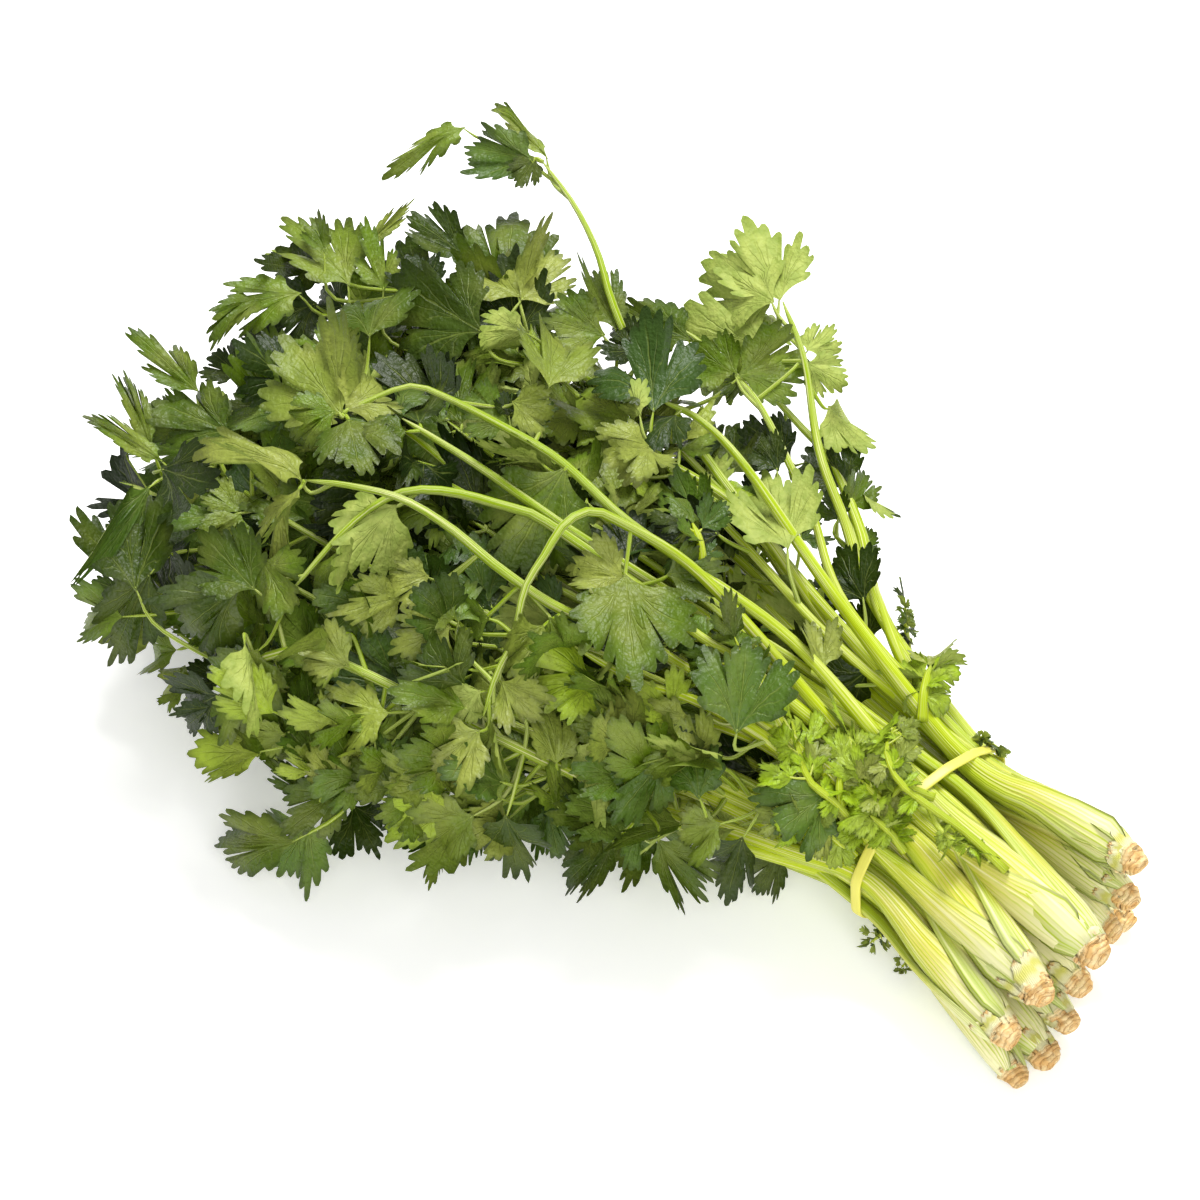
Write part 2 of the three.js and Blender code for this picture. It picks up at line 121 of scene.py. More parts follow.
# The leaflets that stand out: plant, base, tip, then the turn of the blade about its length (degrees
# from facing the front; 180 shows its underside there), its fold across, droop, breadth and tone.
LEADING_LEAVES = [
    (5, (-142, -54, 89), (-175, -60, 100), 10, 0.3, 0.3, 0.24, 0.55),
    (5, (-149, -52, 88), (-178, -35, 102), 10, 0.3, 0.4, 0.26, 0.35),
    (3, (-151, -27, 94), (-180, -23, 96), 10, 1.0, 0.5, 0.5, 0.4),
    (3, (-133, -33, 92), (-160, -36, 90), 0, 0.6, 0.6, 0.9, 0.3),
    (3, (-158, 31, 91), (-178, 4, 89), 20, 0.5, 0.5, 0.55, 0.55),
    (3, (-167, 22, 91), (-167, -7, 92), 20, 0.8, 0.8, 0.5, 0.35),
    (0, (-150, 46, 88), (-181, 55, 84), 30, 0.6, 1.0, 0.8, 0.72),
    (0, (-166, 58, 81), (-198, 52, 73), 200, 0.4, 0.3, 0.4, 0.5),
    (0, (-170, 54, 81), (-178, 25, 87), 10, 0.2, 0.4, 0.5, 0.15),
    (0, (-123, 25, 96), (-139, 51, 93), -20, -0.4, 0.4, 1, 0.3),
    (0, (-157, 64, 90), (-156, 84, 95), 15, 0.8, 0.6, 0.3, 0.8),
    (0, (-139, 51, 88), (-154, 63, 93), 0, 0.3, 0.8, 0.8, 0.6),
    (3, (-102, -13, 103), (-134, 1, 101), 0, 0.3, 0.4, 1, 0.75),
    (3, (-104, -13, 103), (-117, -28, 101), 10, -0.6, 0.6, 1, 0.62),
    (3, (-102, -11, 103), (-101, 11, 103), 0, 0.8, 0.5, 1, 0.82),
    (3, (-99, -13, 103), (-79, -28, 101), -10, -0.4, 0.4, 1, 0.3),
    (5, (-93, -42, 102), (-126, -53, 98), 48, 0.5, 1.7, 0.5, 0.82),
    (5, (-92, -44, 102), (-86, -69, 90), 50, 1.5, 0.5, 0.55, 0.82),
    (5, (-88, -68, 91), (-65, -75, 88), 20, -0.5, 0.3, 1, 0.4),
    (7, (-121, -92, 75), (-147, -68, 85), 0, 0.3, 0.3, 0.85, 0.2),
    (7, (-139, -64, 89), (-146, -99, 75), -35, -0.6, 1.3, 0.45, 0.25),
    (5, (-142, -56, 88), (-112, -56, 95), 0, 0.3, 0.3, 1, 0.1),
    (7, (-121, -85, 78), (-126, -102, 46), 0, 0.3, 0.3, 0.6, 0.2),
    (7, (-123, -97, 66), (-144, -100, 52), 20, 0.5, 0.6, 0.7, 0.65),
    (7, (-89, -78, 86), (-104, -98, 69), 0, -0.5, 0.3, 0.85, 0.22),
    (5, (-84, -76, 87), (-114, -70, 89), 10, 0.5, 0.2, 0.85, 0.28),
    (9, (-73, -88, 78), (-77, -102, 46), 0, -0.3, 0.2, 0.75, 0.4),
    (9, (-80, -100, 62), (-97, -106, 44), 0, 0.3, 0.3, 0.9, 0.1),
    (9, (-78, -89, 79), (-55, -97, 68), 90, 2.2, 0.4, 0.75, 0.82),
    (7, (-44, -78, 81), (-61, -80, 85), 0, 0.6, 0.8, 1, 0.78),
    (5, (-64, -31, 101), (-66, -58, 95), 180, 0.9, 0.6, 1, 0.82),
    (5, (-69, -52, 97), (-48, -72, 86), 40, 1.2, 0.3, 1, 0.4),
    (7, (-41, -43, 94), (-49, -55, 93), 0, 0.5, 0.9, 1, 0.82),
    (0, (-157, 117, 106), (-171, 88, 98), 25, 0.9, 0.3, 0.3, 0.7),
    (0, (-126, 115, 109), (-152, 108, 106), 0, 0.3, 0.3, 0.65, 0.25),
    (0, (-126, 116, 109), (-127, 107, 102), 0, 0.3, 0.3, 1, 0.2),
    (0, (-122, 118, 109), (-153, 125, 114), 30, 0.8, 0.5, 0.28, 0.7),
    (0, (-108, 76, 83), (-122, 97, 105), 0, 0.2, 0.2, 1.0, 0.3),
    (0, (-96, 70, 96), (-119, 81, 96), 0, 1.0, 0.3, 1, 0.82),
    (0, (-95, 69, 96), (-98, 93, 94), 0, 1.0, 0.3, 1, 0.82),
    (0, (-94, 48, 98), (-131, 48, 96), 0, -0.3, 0.1, 1, 0.22),
    (3, (-83, 59, 96), (-91, 39, 100), 150, 1.5, 1.2, 0.75, 0.8),
    (0, (-131, 84, 84), (-158, 84, 88), 20, 0.6, 0.5, 0.6, 0.2),
    (1, (-46, 98, 85), (-78, 93, 86), 10, 0.6, 0.2, 0.6, 0.3),
    (1, (-31, 58, 92), (-54, 86, 95), 0, -0.3, 0.3, 1, 0.05),
    (1, (-67, 79, 89), (-87, 67, 93), 10, 0.4, 0.6, 1, 0.42),
    (0, (-67, 85, 86), (-91, 101, 92), 10, 0.5, 0.5, 0.5, 0.3),
    (1, (-53, 82, 86), (-72, 84, 88), -10, 0.4, 0.5, 0.9, 0.1),
    (3, (-59, 39, 101), (-79, 62, 95), 30, 1.0, 0.8, 1, 0.75),
    (3, (-33, 15, 100), (-33, -19, 76), 0, -0.5, 0.3, 1.05, 0.36),
    (3, (-39, 12, 100), (-58, -2, 103), 95, 0.5, 0.3, 0.8, 0.3),
    (3, (-26, -51, 88), (-36, -69, 84), 0, -0.4, 0.5, 1, 0.78),
    (3, (-26, -48, 89), (-39, -52, 92), 10, 0.6, 0.9, 1, 0.66),
    (3, (-4, -33, 88), (-1, -53, 81), -10, 1.0, 0.5, 1, 0.78),
    (3, (-4, -30, 89), (11, -35, 82), 20, 1.0, 0.7, 1, 0.7),
    (5, (7, -6, 95), (29, -32, 80), 0, -0.4, 0.3, 1, 0.4),
    (5, (5, -4, 90), (-13, -12, 94), 20, 1.0, 0.6, 1, 0.82),
    (5, (13, 7, 88), (22, 22, 84), 0, 0.4, 0.4, 1, 0.3),
    (3, (-23, 45, 92), (-30, 24, 97), 0, 0.6, 0.7, 1, 0.82),
    (3, (-22, 44, 92), (-13, 25, 94), 0, 0.6, 0.7, 1, 0.82),
    (3, (-33, 54, 92), (-48, 58, 94), 150, 1.4, 0.5, 0.75, 0.82),
    (3, (-63, 25, 103), (-48, 30, 100), 0, 0.6, 0.6, 1, 0.8),
    (1, (-26, 120, 98), (-49, 138, 104), 180, -0.3, 0.1, 1.15, 0.82),
    (1, (-27, 118, 98), (-59, 119, 100), 185, 0.3, 0.2, 1.1, 0.82),
    (1, (-23, 108, 88), (-56, 103, 84), 180, 0.3, 0.2, 1.15, 0.75),
    (1, (-23, 111, 86), (-33, 127, 88), 180, 0.3, 0.1, 1, 0.82),
    (1, (-23, 93, 86), (-8, 114, 88), 0, 0.3, 0.2, 1, 0.5),
    (1, (-23, 93, 86), (-44, 97, 82), 0, 0.5, 0.4, 1, 0.42),
    (1, (-10, 113, 90), (-10, 130, 92), 160, 1.0, 1.2, 0.8, 0.82),
    (1, (-8, 110, 88), (7, 113, 84), 180, 0.4, 0.3, 1, 0.82),
    (1, (5, 105, 80), (22, 108, 72), 150, 0.6, 1.5, 1, 0.3),
    (1, (23, 94, 62), (3, 100, 66), 0, 0.3, 0.3, 1.1, 0.15),
    (1, (27, 87, 60), (22, 106, 62), 20, 0.8, 0.7, 0.75, 0.35),
    (1, (28, 81, 60), (19, 85, 66), 0, 0.5, 0.7, 1, 0.2),
    (1, (24, 95, 60), (40, 102, 54), 80, 1.0, 0.5, 0.8, 0.3),
    (3, (30, 49, 75), (1, 71, 80), 180, -0.5, 0.3, 0.8, 0.82),
    (1, (2, 90, 64), (-18, 87, 73), 0, 0.4, 0.3, 1, 0.08),
    (1, (1, 99, 57), (15, 93, 55), 0, 0.4, 0.3, 1, 0.2),
    (9, (26, -46, 70), (37, -59, 46), 180, 1.8, 0.4, 0.6, 0.82),
    (9, (46, -37, 64), (41, -54, 50), 0, -0.4, 0.5, 1, 0.33),
    (7, (45, -23, 71), (37, -38, 69), 0, 0.8, 1.0, 1, 0.82),
    (7, (48, -38, 62), (52, -23, 68), 0, -0.5, 0.5, 1, 0.2),
    (5, (62, -22, 74), (48, 4, 90), 0, 0.6, 0.6, 0.95, 0.33),
    (7, (61, -39, 58), (46, -24, 70), 10, 0.6, 0.6, 0.75, 0.29),
    (5, (66, 19, 70), (51, 28, 74), 40, 1.4, 0.3, 0.75, 0.82),
    (7, (91, -14, 60), (86, -38, 54), 0, -0.3, 0.3, 1.15, 0.33),
    (9, (-42, -110, 28), (-75, -121, 12), 0, 0.3, 0.2, 0.52, 0.35),
    (9, (-42, -103, 33), (-51, -110, 4), 0, -0.1, 0.2, 0.85, 0.45),
    (9, (-47, -97, 33), (-66, -99, 44), 20, 0.5, 0.2, 0.45, 0.3),
    (9, (-35, -97, 48), (-43, -97, 62), 0, 0.5, 0.7, 1, 0.82),
    (9, (-17, -90, 53), (-34, -93, 61), 0, 0.3, 0.3, 1, 0.3),
    (9, (-35, -91, 33), (-16, -99, 29), 0, 0.3, 0.3, 1, 0.12),
    (9, (-9, -81, 31), (0, -92, 20), 30, 1.2, 0.3, 0.5, 0.6),
    (9, (-13, -82, 44), (-19, -91, 34), 0, 0.6, 0.6, 0.9, 0.12),
    (9, (-7, -60, 80), (-12, -73, 73), 180, 0.3, 0.4, 1, 0.82),
    (9, (-1, -68, 73), (-8, -82, 62), 0, 0.5, 0.9, 1, 0.82),
    (7, (-4, -54, 81), (13, -54, 73), 10, 0.5, 0.8, 1, 0.8),
    (9, (0, -64, 75), (13, -72, 57), 60, 2.0, 0.3, 0.75, 0.7),
    (9, (14, -75, 50), (18, -73, 23), 20, 0.6, 0.3, 0.7, 0.2),
    (9, (42, -56, 41), (33, -63, 20), 25, 1.0, 0.9, 0.9, 0.22),
    (9, (54, -51, 46), (64, -47, 20), -25, 0.5, 0.3, 0.6, 0.3),
    (9, (75, -35, 47), (75, -35, 27), 30, 1.2, 1.0, 0.9, 0.16),
    (9, (68, -37, 50), (57, -46, 42), 0, 0.5, 0.6, 1, 0.72),
    (0, (-90, 62, 86), (-110, 80, 90), 0, 0.5, 0.6, 1.1, 0.1),
    (9, (2, -78, 40), (-13, -90, 32), 10, 0.9, 0.6, 0.9, 0.25),
    (9, (38, -32, 24), (26, -46, 10), -15, 0.8, 0.5, 1, 0.3),
    (9, (11, -51, 30), (22, -58, 15), 0, 0.4, 0.5, 0.9, 0.25),
    (9, (-1, -69, 45), (4, -78, 30), 10, 0.9, 0.8, 0.9, 0.25),
    (9, (27, -50, 24), (29, -54, 8), 10, 0.8, 0.6, 0.9, 0.2),
    (9, (68, -27, 28), (60, -30, 10), 0, 0.6, 0.6, 0.9, 0.2),
    (9, (78, -18, 24), (74, -21, 8), 10, 0.8, 0.8, 0.9, 0.2),
    (9, (-56, -62, 36), (-74, -76, 20), 20, 0.5, 0.6, 1, 0.2),
    (1, (-23, 97, 82), (-25, 83, 82), 0, 0.6, 0.8, 0.5, 0.2),
    (1, (8, 74, 76), (-8, 82, 78), 0, 0.9, 0.7, 0.8, 0.12),
    (1, (52, 62, 54), (34, 72, 60), -20, 0.8, 0.6, 1, 0.1),
    (0, (-161, 47, 96), (-176, 53, 98), 20, 0.8, 0.5, 0.5, 0.4),
    (1, (36, 79, 52), (37, 91, 54), 20, 0.6, 0.4, 1.0, 0.35),
    (9, (-81, -102, 58), (-91, -109, 44), 0, 0.3, 0.3, 0.8, 0.1),
    (9, (40, -40, 40), (50, -41, 16), 0, 0.8, 0.4, 0.9, 0.45),
    (0, (-126, 60, 88), (-144, 67, 90), 0, 0.5, 0.3, 1.0, 0.1),
    (3, (-159, 39, 80), (-167, 20, 80), 0, 0.3, 0.3, 1.2, 0.1),
    (3, (-156, -3, 80), (-172, 0, 80), 0, 0.3, 0.3, 1.0, 0.12),
    (9, (0, -45, 22), (15, -56, 14), 0, 0.6, 0.4, 1.1, 0.33),
    (5, (-146, -35, 86), (-164, -36, 86), 0, 0.4, 0.4, 1.0, 0.3),
    (7, (-133, -85, 60), (-147, -88, 60), 0, 0.4, 0.3, 0.9, 0.2),
    (0, (-154, 47, 75), (-170, 48, 75), 0, 0.3, 0.3, 1.1, 0.1),
    (3, (-154, 13, 80), (-170, 16, 80), 0, 0.3, 0.3, 1.1, 0.1),
    (9, (-96, -82, 40), (-110, -82, 40), 0, 0.3, 0.3, 1.0, 0.1),
    (1, (59, 57, 42), (39, 67, 42), 0, 0.3, 0.3, 0.7, 0.15),
    (1, (45, 63, 44), (23, 70, 44), 0, 0.3, 0.3, 0.6, 0.15),
]  # fmt: skip

# Small late shoots that grow from the crowns between the stalks: plant, leaflet length, tone, path.
SPRIGS = [
    (5, 10.5, 1.0, [(124, -12, 44), (107, -14, 50), (95, -15, 59), (86, -16, 63), (79, -12, 66),
        (70, -4, 69)]),
    (5, 10.5, 1.0, [(97, -15, 57), (92, -9, 62), (90, -1, 64)]),
    (3, 9, 1.0, [(149, -2, 55), (134, -1, 60), (120, -2, 64), (109, -2, 67), (99, 5, 68),
        (95, 16, 66)]),
    (3, 9.5, 1.0, [(117, 6, 58), (108, 2, 60), (107, -3, 58)]),
    (3, 7, 1.0, [(119, 0, 61), (125, -4, 60), (131, -5, 59), (137, -2, 57)]),
    (1, 15, 1.0, [(96, 30, 56), (91, 38, 60), (86, 49, 58)]),
    (4, 11, 0.95, [(104, -2, 54), (94, -1, 63), (86, 4, 66)]),
    (4, 11, 1.0, [(111, -4, 52), (104, -5, 58), (97, -5, 62)]),
    (5, 10.5, 1.0, [(118, -10, 48), (112, -10, 53), (105, -11, 57)]),
    (7, 13, 0.8, [(105, -18, 44), (97, -21, 52), (88, -25, 55)]),
    (1, 7, 0.25, [(76, 56, 38), (66, 66, 45), (61, 72, 50)]),
    (9, 3, 0.15, [(130, -5, 15), (127, -14, 8), (126, -19, 5)]),
    (9, 4, 0.2, [(122, -12, 20), (117, -16, 13), (114, -19, 8)]),
    (1, 5, 0.3, [(100, 36, 42), (110, 42, 47), (117, 42, 48)]),
    (3, 13, 0.3, [(60, 2, 70), (46, 0, 78), (34, -4, 82)]),
    (3, 12, 0.35, [(20, 17, 84), (14, 23, 89), (8, 27, 91)]),
]  # fmt: skip


def of_plant(p, rows):
    """The rows of a table that belong to a plant."""
    return [row for row in rows if row[0] == p]


def sampled(at, run, columns):
    """The rows of a table at the given values of run, straight between its own rows."""
    return np.stack([np.interp(at, run, column) for column in columns.T], axis=-1)


def section_at(x):
    """The centre, and the half width and half height, of the bunch's cross-section at x."""
    return sampled(x, SECTION_X, SECTION_CENTRE), sampled(x, SECTION_X, SECTION_HALF)


def section_point(x, angle, out):
    """A point of the bunch: the ellipse at x, at an angle round it, a fraction out from its middle."""
    centre, half = section_at(x)
    return np.array([x, *(centre + half * out * np.array([np.cos(angle), np.sin(angle)]))])


def section_outward(point):
    """Which way is out at a point: away from the middle of its cross-section."""
    centre, half = section_at(point[0])
    return unit(np.array([0, *((point[1:] - centre) / half**2)]) + np.array([0, 0, 1e-6]))


def in_frame(points):
    """Points of the bunch's own frame, in metres in the shared frame."""
    return np.array(points, float) * MM + PLACE


def unit(v):
    """The vector, or each of an array of them, at length 1."""
    v = np.asarray(v, float)
    return v / np.maximum(np.linalg.norm(v, axis=-1, keepdims=True), 1e-9)


def turned(v, axis, angle):
    """A vector turned about an axis of length 1."""
    along = axis * (axis @ v) * (1 - np.cos(angle))
    return v * np.cos(angle) + np.cross(axis, v) * np.sin(angle) + along


# ---- Meshes ---------------------------------------------------------------------------------------


def run_along(path):
    """Distance along a path from its start."""
    return np.concatenate([[0], np.cumsum(np.linalg.norm(np.diff(path, axis=0), axis=1))])


def smooth_path(points, count):
    """A Catmull-Rom curve through the points, cut into steps of equal length."""
    p = np.asarray(points, float)
    p = np.vstack([2 * p[0] - p[1], p, 2 * p[-1] - p[-2]])
    t = np.linspace(0, 1, 24, endpoint=False)[:, None]
    a, b, c, d = p[:-3, None], p[1:-2, None], p[2:-1, None], p[3:, None]
    even = 2 * b + (c - a) * t + (2 * a - 5 * b + 4 * c - d) * t**2 + (3 * b - a - 3 * c + d) * t**3
    dense = np.vstack([(0.5 * even).reshape(-1, 3), p[-2:-1]])
    run = run_along(dense)
    return sampled(np.linspace(0, run[-1], count), run, dense)


def round_path(middle, u, side, v, up):
    """Rings of points: u to the side of each middle and v up from it."""
    return middle + u[..., None] * side + v[..., None] * up


def tube_faces(rows, sides, values):
    """The squares between each two neighbouring rings of a tube, and the place of each of their
    corners: round the ring (0 to 1), and the ring's value. With one value more than there are rings,
    the last ring is joined to the first."""
    j, c = np.meshgrid(np.arange(len(values) - 1), np.arange(sides), indexing="ij")
    after, below = (c + 1) % sides, (j + 1) % rows
    quads = np.stack([j * sides + c, j * sides + after, below * sides + after, below * sides + c], -1)
    around = np.stack([c, c + 1, c + 1, c], -1) / sides
    down = np.stack([values[j], values[j], values[j + 1], values[j + 1]], -1)
    return quads.reshape(-1, 4), np.stack([around, down], -1).reshape(-1, 4, 2)


def loft(rings, tone, values):
    """Closed skin over rings of points (rows, sides, 3): a band of squares between each two rings and
    a fan of triangles to a pole at the middle of the first and of the last ring."""
    rows, sides = rings.shape[:2]
    quads, quad_uv = tube_faces(rows, sides, values)
    column = np.arange(sides)
    after = (column + 1) % sides
    last = (rows - 1) * sides
    low = np.stack([after, column, np.full(sides, rows * sides)], -1)
    high = np.stack([last + column, last + after, np.full(sides, rows * sides + 1)], -1)
    turn = np.stack([column + 1, column, column + 0.5], -1) / sides
    low_uv = np.stack([turn, np.full(turn.shape, values[0])], -1)
    high_uv = np.stack([1 - turn, np.full(turn.shape, values[-1])], -1)
    points = np.vstack([rings.reshape(-1, 3), rings[0].mean(axis=0), rings[-1].mean(axis=0)])
    return {
        "points": points,
        "quads": quads,
        "quad_uv": quad_uv,
        "tris": np.vstack([low, high]),
        "tri_uv": np.concatenate([low_uv, high_uv]),
        "tone": np.full(len(points), tone),
        "under": np.zeros(len(quads) + 2 * sides),
    }


def joined(parts):
    """Several skins as one: their points end to end, with the faces' numbers moved up to match."""
    start = np.cumsum([0] + [len(part["points"]) for part in parts[:-1]])
    plain = ("points", "quad_uv", "tri_uv", "tone")
    whole = {key: np.concatenate([part[key] for part in parts]) for key in plain}
    whole["quads"] = np.concatenate([part["quads"] + s for part, s in zip(parts, start)])
    whole["tris"] = np.concatenate([part["tris"] + s for part, s in zip(parts, start)])
    quad_under = [part["under"][: len(part["quads"])] for part in parts]
    tri_under = [part["under"][len(part["quads"]) :] for part in parts]
    whole["under"] = np.concatenate(quad_under + tri_under)
    return whole


def add_piece(name, parts, material, nodes, sharp=None):
    """Makes the skins one mesh object in the frame, that rides on the bunch and replaces CAD nodes.
    Edges between faces that meet at more than the sharp angle, in radians, stay crisp."""
    skin = joined(parts)
    mesh = bpy.data.meshes.new(name)
    quads, tris = skin["quads"], skin["tris"]
    mesh.vertices.add(len(skin["points"]))
    mesh.vertices.foreach_set("co", in_frame(skin["points"]).astype(np.float32).ravel())
    mesh.loops.add(quads.size + tris.size)
    corners = np.concatenate([quads.ravel(), tris.ravel()])
    mesh.loops.foreach_set("vertex_index", corners.astype(np.int32))
    mesh.polygons.add(len(quads) + len(tris))
    starts = np.concatenate([np.arange(len(quads)) * 4, quads.size + np.arange(len(tris)) * 3])
    mesh.polygons.foreach_set("loop_start", starts.astype(np.int32))
    mesh.update(calc_edges=True)
    uv = np.concatenate([skin["quad_uv"].reshape(-1, 2), skin["tri_uv"].reshape(-1, 2)])
    mesh.uv_layers.new(name="pattern").data.foreach_set("uv", uv.astype(np.float32).ravel())
    for key, domain in (("tone", "POINT"), ("under", "FACE")):
        mesh.attributes.new(key, "FLOAT", domain).data.foreach_set("value", skin[key].astype(np.float32))
    mesh.polygons.foreach_set("use_smooth", np.ones(len(mesh.polygons), bool))
    if sharp:
        mesh.set_sharp_from_angle(angle=sharp)
    mesh.materials.append(material)
    piece = bpy.data.objects.new(name, mesh)
    bpy.context.scene.collection.objects.link(piece)
    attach(piece, "root")
    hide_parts(*nodes)


# ---- Materials ------------------------------------------------------------------------------------

# The kinds of node that the materials use: type, settings, inputs in the order of their values, and
# output. The maths kinds are named after their operation, and "spread" maps a range to 0..1.
KINDS = {
    "uv": ("ShaderNodeUVMap", {"uv_map": "pattern"}, (), 0),
    "place": ("ShaderNodeTexCoord", {}, (), "Object"),
    "tone": ("ShaderNodeAttribute", {"attribute_name": "tone"}, (), "Fac"),
    "under": ("ShaderNodeAttribute", {"attribute_name": "under"}, (), "Fac"),
    "split": ("ShaderNodeSeparateXYZ", {}, (0,), slice(0, 2)),
    "combine": ("ShaderNodeCombineXYZ", {}, (0, 1, 2), 0),
    "noise": ("ShaderNodeTexNoise", {}, ("Vector", "Scale", "Detail"), 0),
    "cells": ("ShaderNodeTexVoronoi", {}, ("Vector", "Scale"), 0),
    "mix": ("ShaderNodeMix", {"data_type": "RGBA"}, (0, 6, 7), 2),
    "spread": ("ShaderNodeMapRange", {"interpolation_type": "SMOOTHSTEP"}, (0, 1, 2), 0),
    "bump": ("ShaderNodeBump", {}, ("Height", "Strength", "Distance"), 0),
    "principled": ("ShaderNodeBsdfPrincipled", {}, ("Base Color", "Roughness", "IOR", "Normal"), 0),
    "translucent": ("ShaderNodeBsdfTranslucent", {}, ("Color", "Normal"), 0),
    "mix_shader": ("ShaderNodeMixShader", {}, (0, 1, 2), 0),
    "output": ("ShaderNodeOutputMaterial", {}, ("Surface",), slice(0)),
}
MATHS = "ADD SUBTRACT MULTIPLY DIVIDE SINE ABSOLUTE SIGN ROUND MAXIMUM GREATER_THAN LESS_THAN"
for operation in MATHS.split():
    KINDS[operation.lower()] = ("ShaderNodeMath", {"operation": operation}, (0, 1, 2), 0)


def linear(code):
    """An sRGB hex colour as linear red, green and blue."""
    srgb = np.array([int(code[k : k + 2], 16) for k in (1, 3, 5)]) / 255
    light = np.where(srgb <= 0.04045, srgb / 12.92, ((srgb + 0.055) / 1.055) ** 2.4)
    return tuple(float(value) for value in light)


def node(material, kind, *values, inputs=(), **settings):
    """Adds a node of one of the kinds, with any further settings and inputs, and gives its output. A
    value that is a socket is linked, and any other is set."""
    made_as, kind_settings, sockets, output = KINDS[kind]
    made = material.node_tree.nodes.new(made_as)
    for key, value in {**kind_settings, **settings}.items():
        setattr(made, key, value)
    for key, value in (*zip(sockets, values), *dict(inputs).items()):
        socket = made.inputs[key]
        if isinstance(value, bpy.types.NodeSocket):
            material.node_tree.links.new(value, socket)
        elif socket.type == "RGBA":
            socket.default_value = (*value, 1.0)
        else:
            socket.default_value = value
    return made.outputs[output]


def new_material(name):
    """An empty material, and the node function bound to it."""
    material = bpy.data.materials.new(name)
    material.use_nodes = True
    material.node_tree.nodes.clear()
    return material, partial(node, material)


# The width of a leaflet's fan at its margin, in mm, for the width of its veins.
FAN_WIDTH = 60.0
# Patterns on the object's own coordinates, in cells a metre: patches 17 mm across, mottling of 4 mm,
# crinkles of 2.4 mm and puckers of 1.2 mm on a leaf, and flakes of 3 mm and grain of 1 mm on a root.
PATCHES, MOTTLING, CRINKLES, PUCKERS = 60.0, 240.0, 420.0, 800.0
FLAKES, GRAIN = 300.0, 900.0
# How many fine ribs run round a stalk or a crown, and the frequency of the noises that streak them.
RIBS = 30
THIN_STREAKS, WIDE_STREAKS = 40.0, 11.0


def leaf_material(look):
    """Coriander leaf blade: a thin living leaf, dark and satin above with a waxy sheen, paler and
    matt below, with pale veins that fan out to the teeth, and light that comes through it."""
    material, add = new_material("living leaf blade")
    across, along = add("split", add("uv"))
    tone, under, place = add("tone"), add("under"), add("place")

    # Each lobe has a main vein, and a finer vein leaves it for each tooth. Distances are in mm.
    width = add("multiply", along, FAN_WIDTH)
    off_middle = add("subtract", across, 0.5)
    lobe = add("multiply", add("sign", off_middle), 5.0 / TEETH)
    outer = add("greater_than", add("absolute", off_middle), 2.5 / TEETH)
    off_main = add("subtract", off_middle, add("multiply", lobe, outer))
    main = add("multiply", add("absolute", off_main), width)
    main_vein = add("subtract", 1.0, add("spread", main, 0.1, 0.5))
    opening = add("add", 0.12, add("multiply", add("spread", along, 0.1, 0.95), 0.88))
    branch = add("divide", add("multiply", off_main, float(TEETH)), opening)
    off_branch = add("absolute", add("subtract", branch, add("round", branch)))
    fine = add("multiply", add("multiply", off_branch, 1.0 / TEETH), opening)
    fine_vein = add("subtract", 1.0, add("spread", add("multiply", fine, width), 0.04, 0.3))
    inside = add("less_than", add("absolute", branch), 2.4)
    fine_vein = add("multiply", add("multiply", fine_vein, inside), 0.6)
    veins = add("maximum", main_vein, fine_vein)
    veins = add("multiply", veins, add("subtract", 1.0, add("spread", along, 0.75, 1.0)))

    mottle = add("noise", place, MOTTLING, 4.0)
    broad = add("noise", place, PATCHES, 2.0)
    pucker = add("cells", place, PUCKERS)
    crinkle = add("noise", place, CRINKLES, 3.0)

    # The upper face goes from old to young with the leaf's tone, and the freshest are brighter. The
    # lowest tones go to the leaflets deep in the bunch and are painted shade that darkens the gaps
    # between the leaves. Some leaves have a blue-green cast: which ones is drawn from the tone by a fast
    # wave.
    upper = add("mix", add("spread", tone, 0.0, 0.6), look.dark, look.middle)
    upper = add("mix", add("spread", tone, 0.6, 1.0), upper, look.young)
    upper = add("mix", add("spread", tone, 0.82, 0.97), upper, look.fresh)
    # shade is 0 on the darkest tones, which are the painted shade deep in the bunch, and 1 from the
    # middle tones up. It keeps the lighter patches and the light through the leaf off those
    # painted-shade leaflets.
    shade = add("spread", tone, 0.0, 0.5)
    patches = add("multiply", add("spread", broad, 0.4, 0.7), 0.4)
    upper = add("mix", add("multiply", patches, shade), upper, look.young)
    upper = add("mix", add("multiply", add("spread", mottle, 0.45, 0.75), 0.25), upper, look.dark)
    cool = add("spread", add("sine", add("multiply", tone, 157.0)), -0.2, 0.8)
    cool = add("multiply", cool, add("subtract", 1.0, add("spread", tone, 0.5, 0.85)))
    upper = add("mix", add("multiply", cool, 0.45), upper, look.cool)
    upper = add("mix", add("multiply", veins, 0.22), upper, look.vein)
    edge = add("multiply", add("spread", along, 0.9, 1.0), 0.45)
    upper = add("mix", edge, upper, look.dark)
    lower = add("mix", add("spread", mottle, 0.3, 0.7), look.under, look.under_shade)
    lower = add("mix", add("multiply", veins, 0.5), lower, look.vein)
    lower = add("mix", edge, lower, look.middle)
    colour = add("mix", under, upper, lower)

    height = add("add", add("multiply", veins, -0.6), add("multiply", pucker, 0.3))
    height = add("add", height, add("multiply", broad, 3.0))
    height = add("add", height, add("multiply", crinkle, 1.2))
    bump = add("bump", height, 0.75, 0.0008)
    rough = add("add", 0.34, add("multiply", under, 0.18))
    rough = add("add", rough, add("multiply", mottle, 0.15))
    blade = add("principled", colour, rough, 1.4, bump, inputs={"Specular IOR Level": 0.45})
    glow = add("mix", add("multiply", shade, 0.5), colour, look.through)
    add("output", add("mix_shader", 0.22, blade, add("translucent", glow, bump)))
    return material


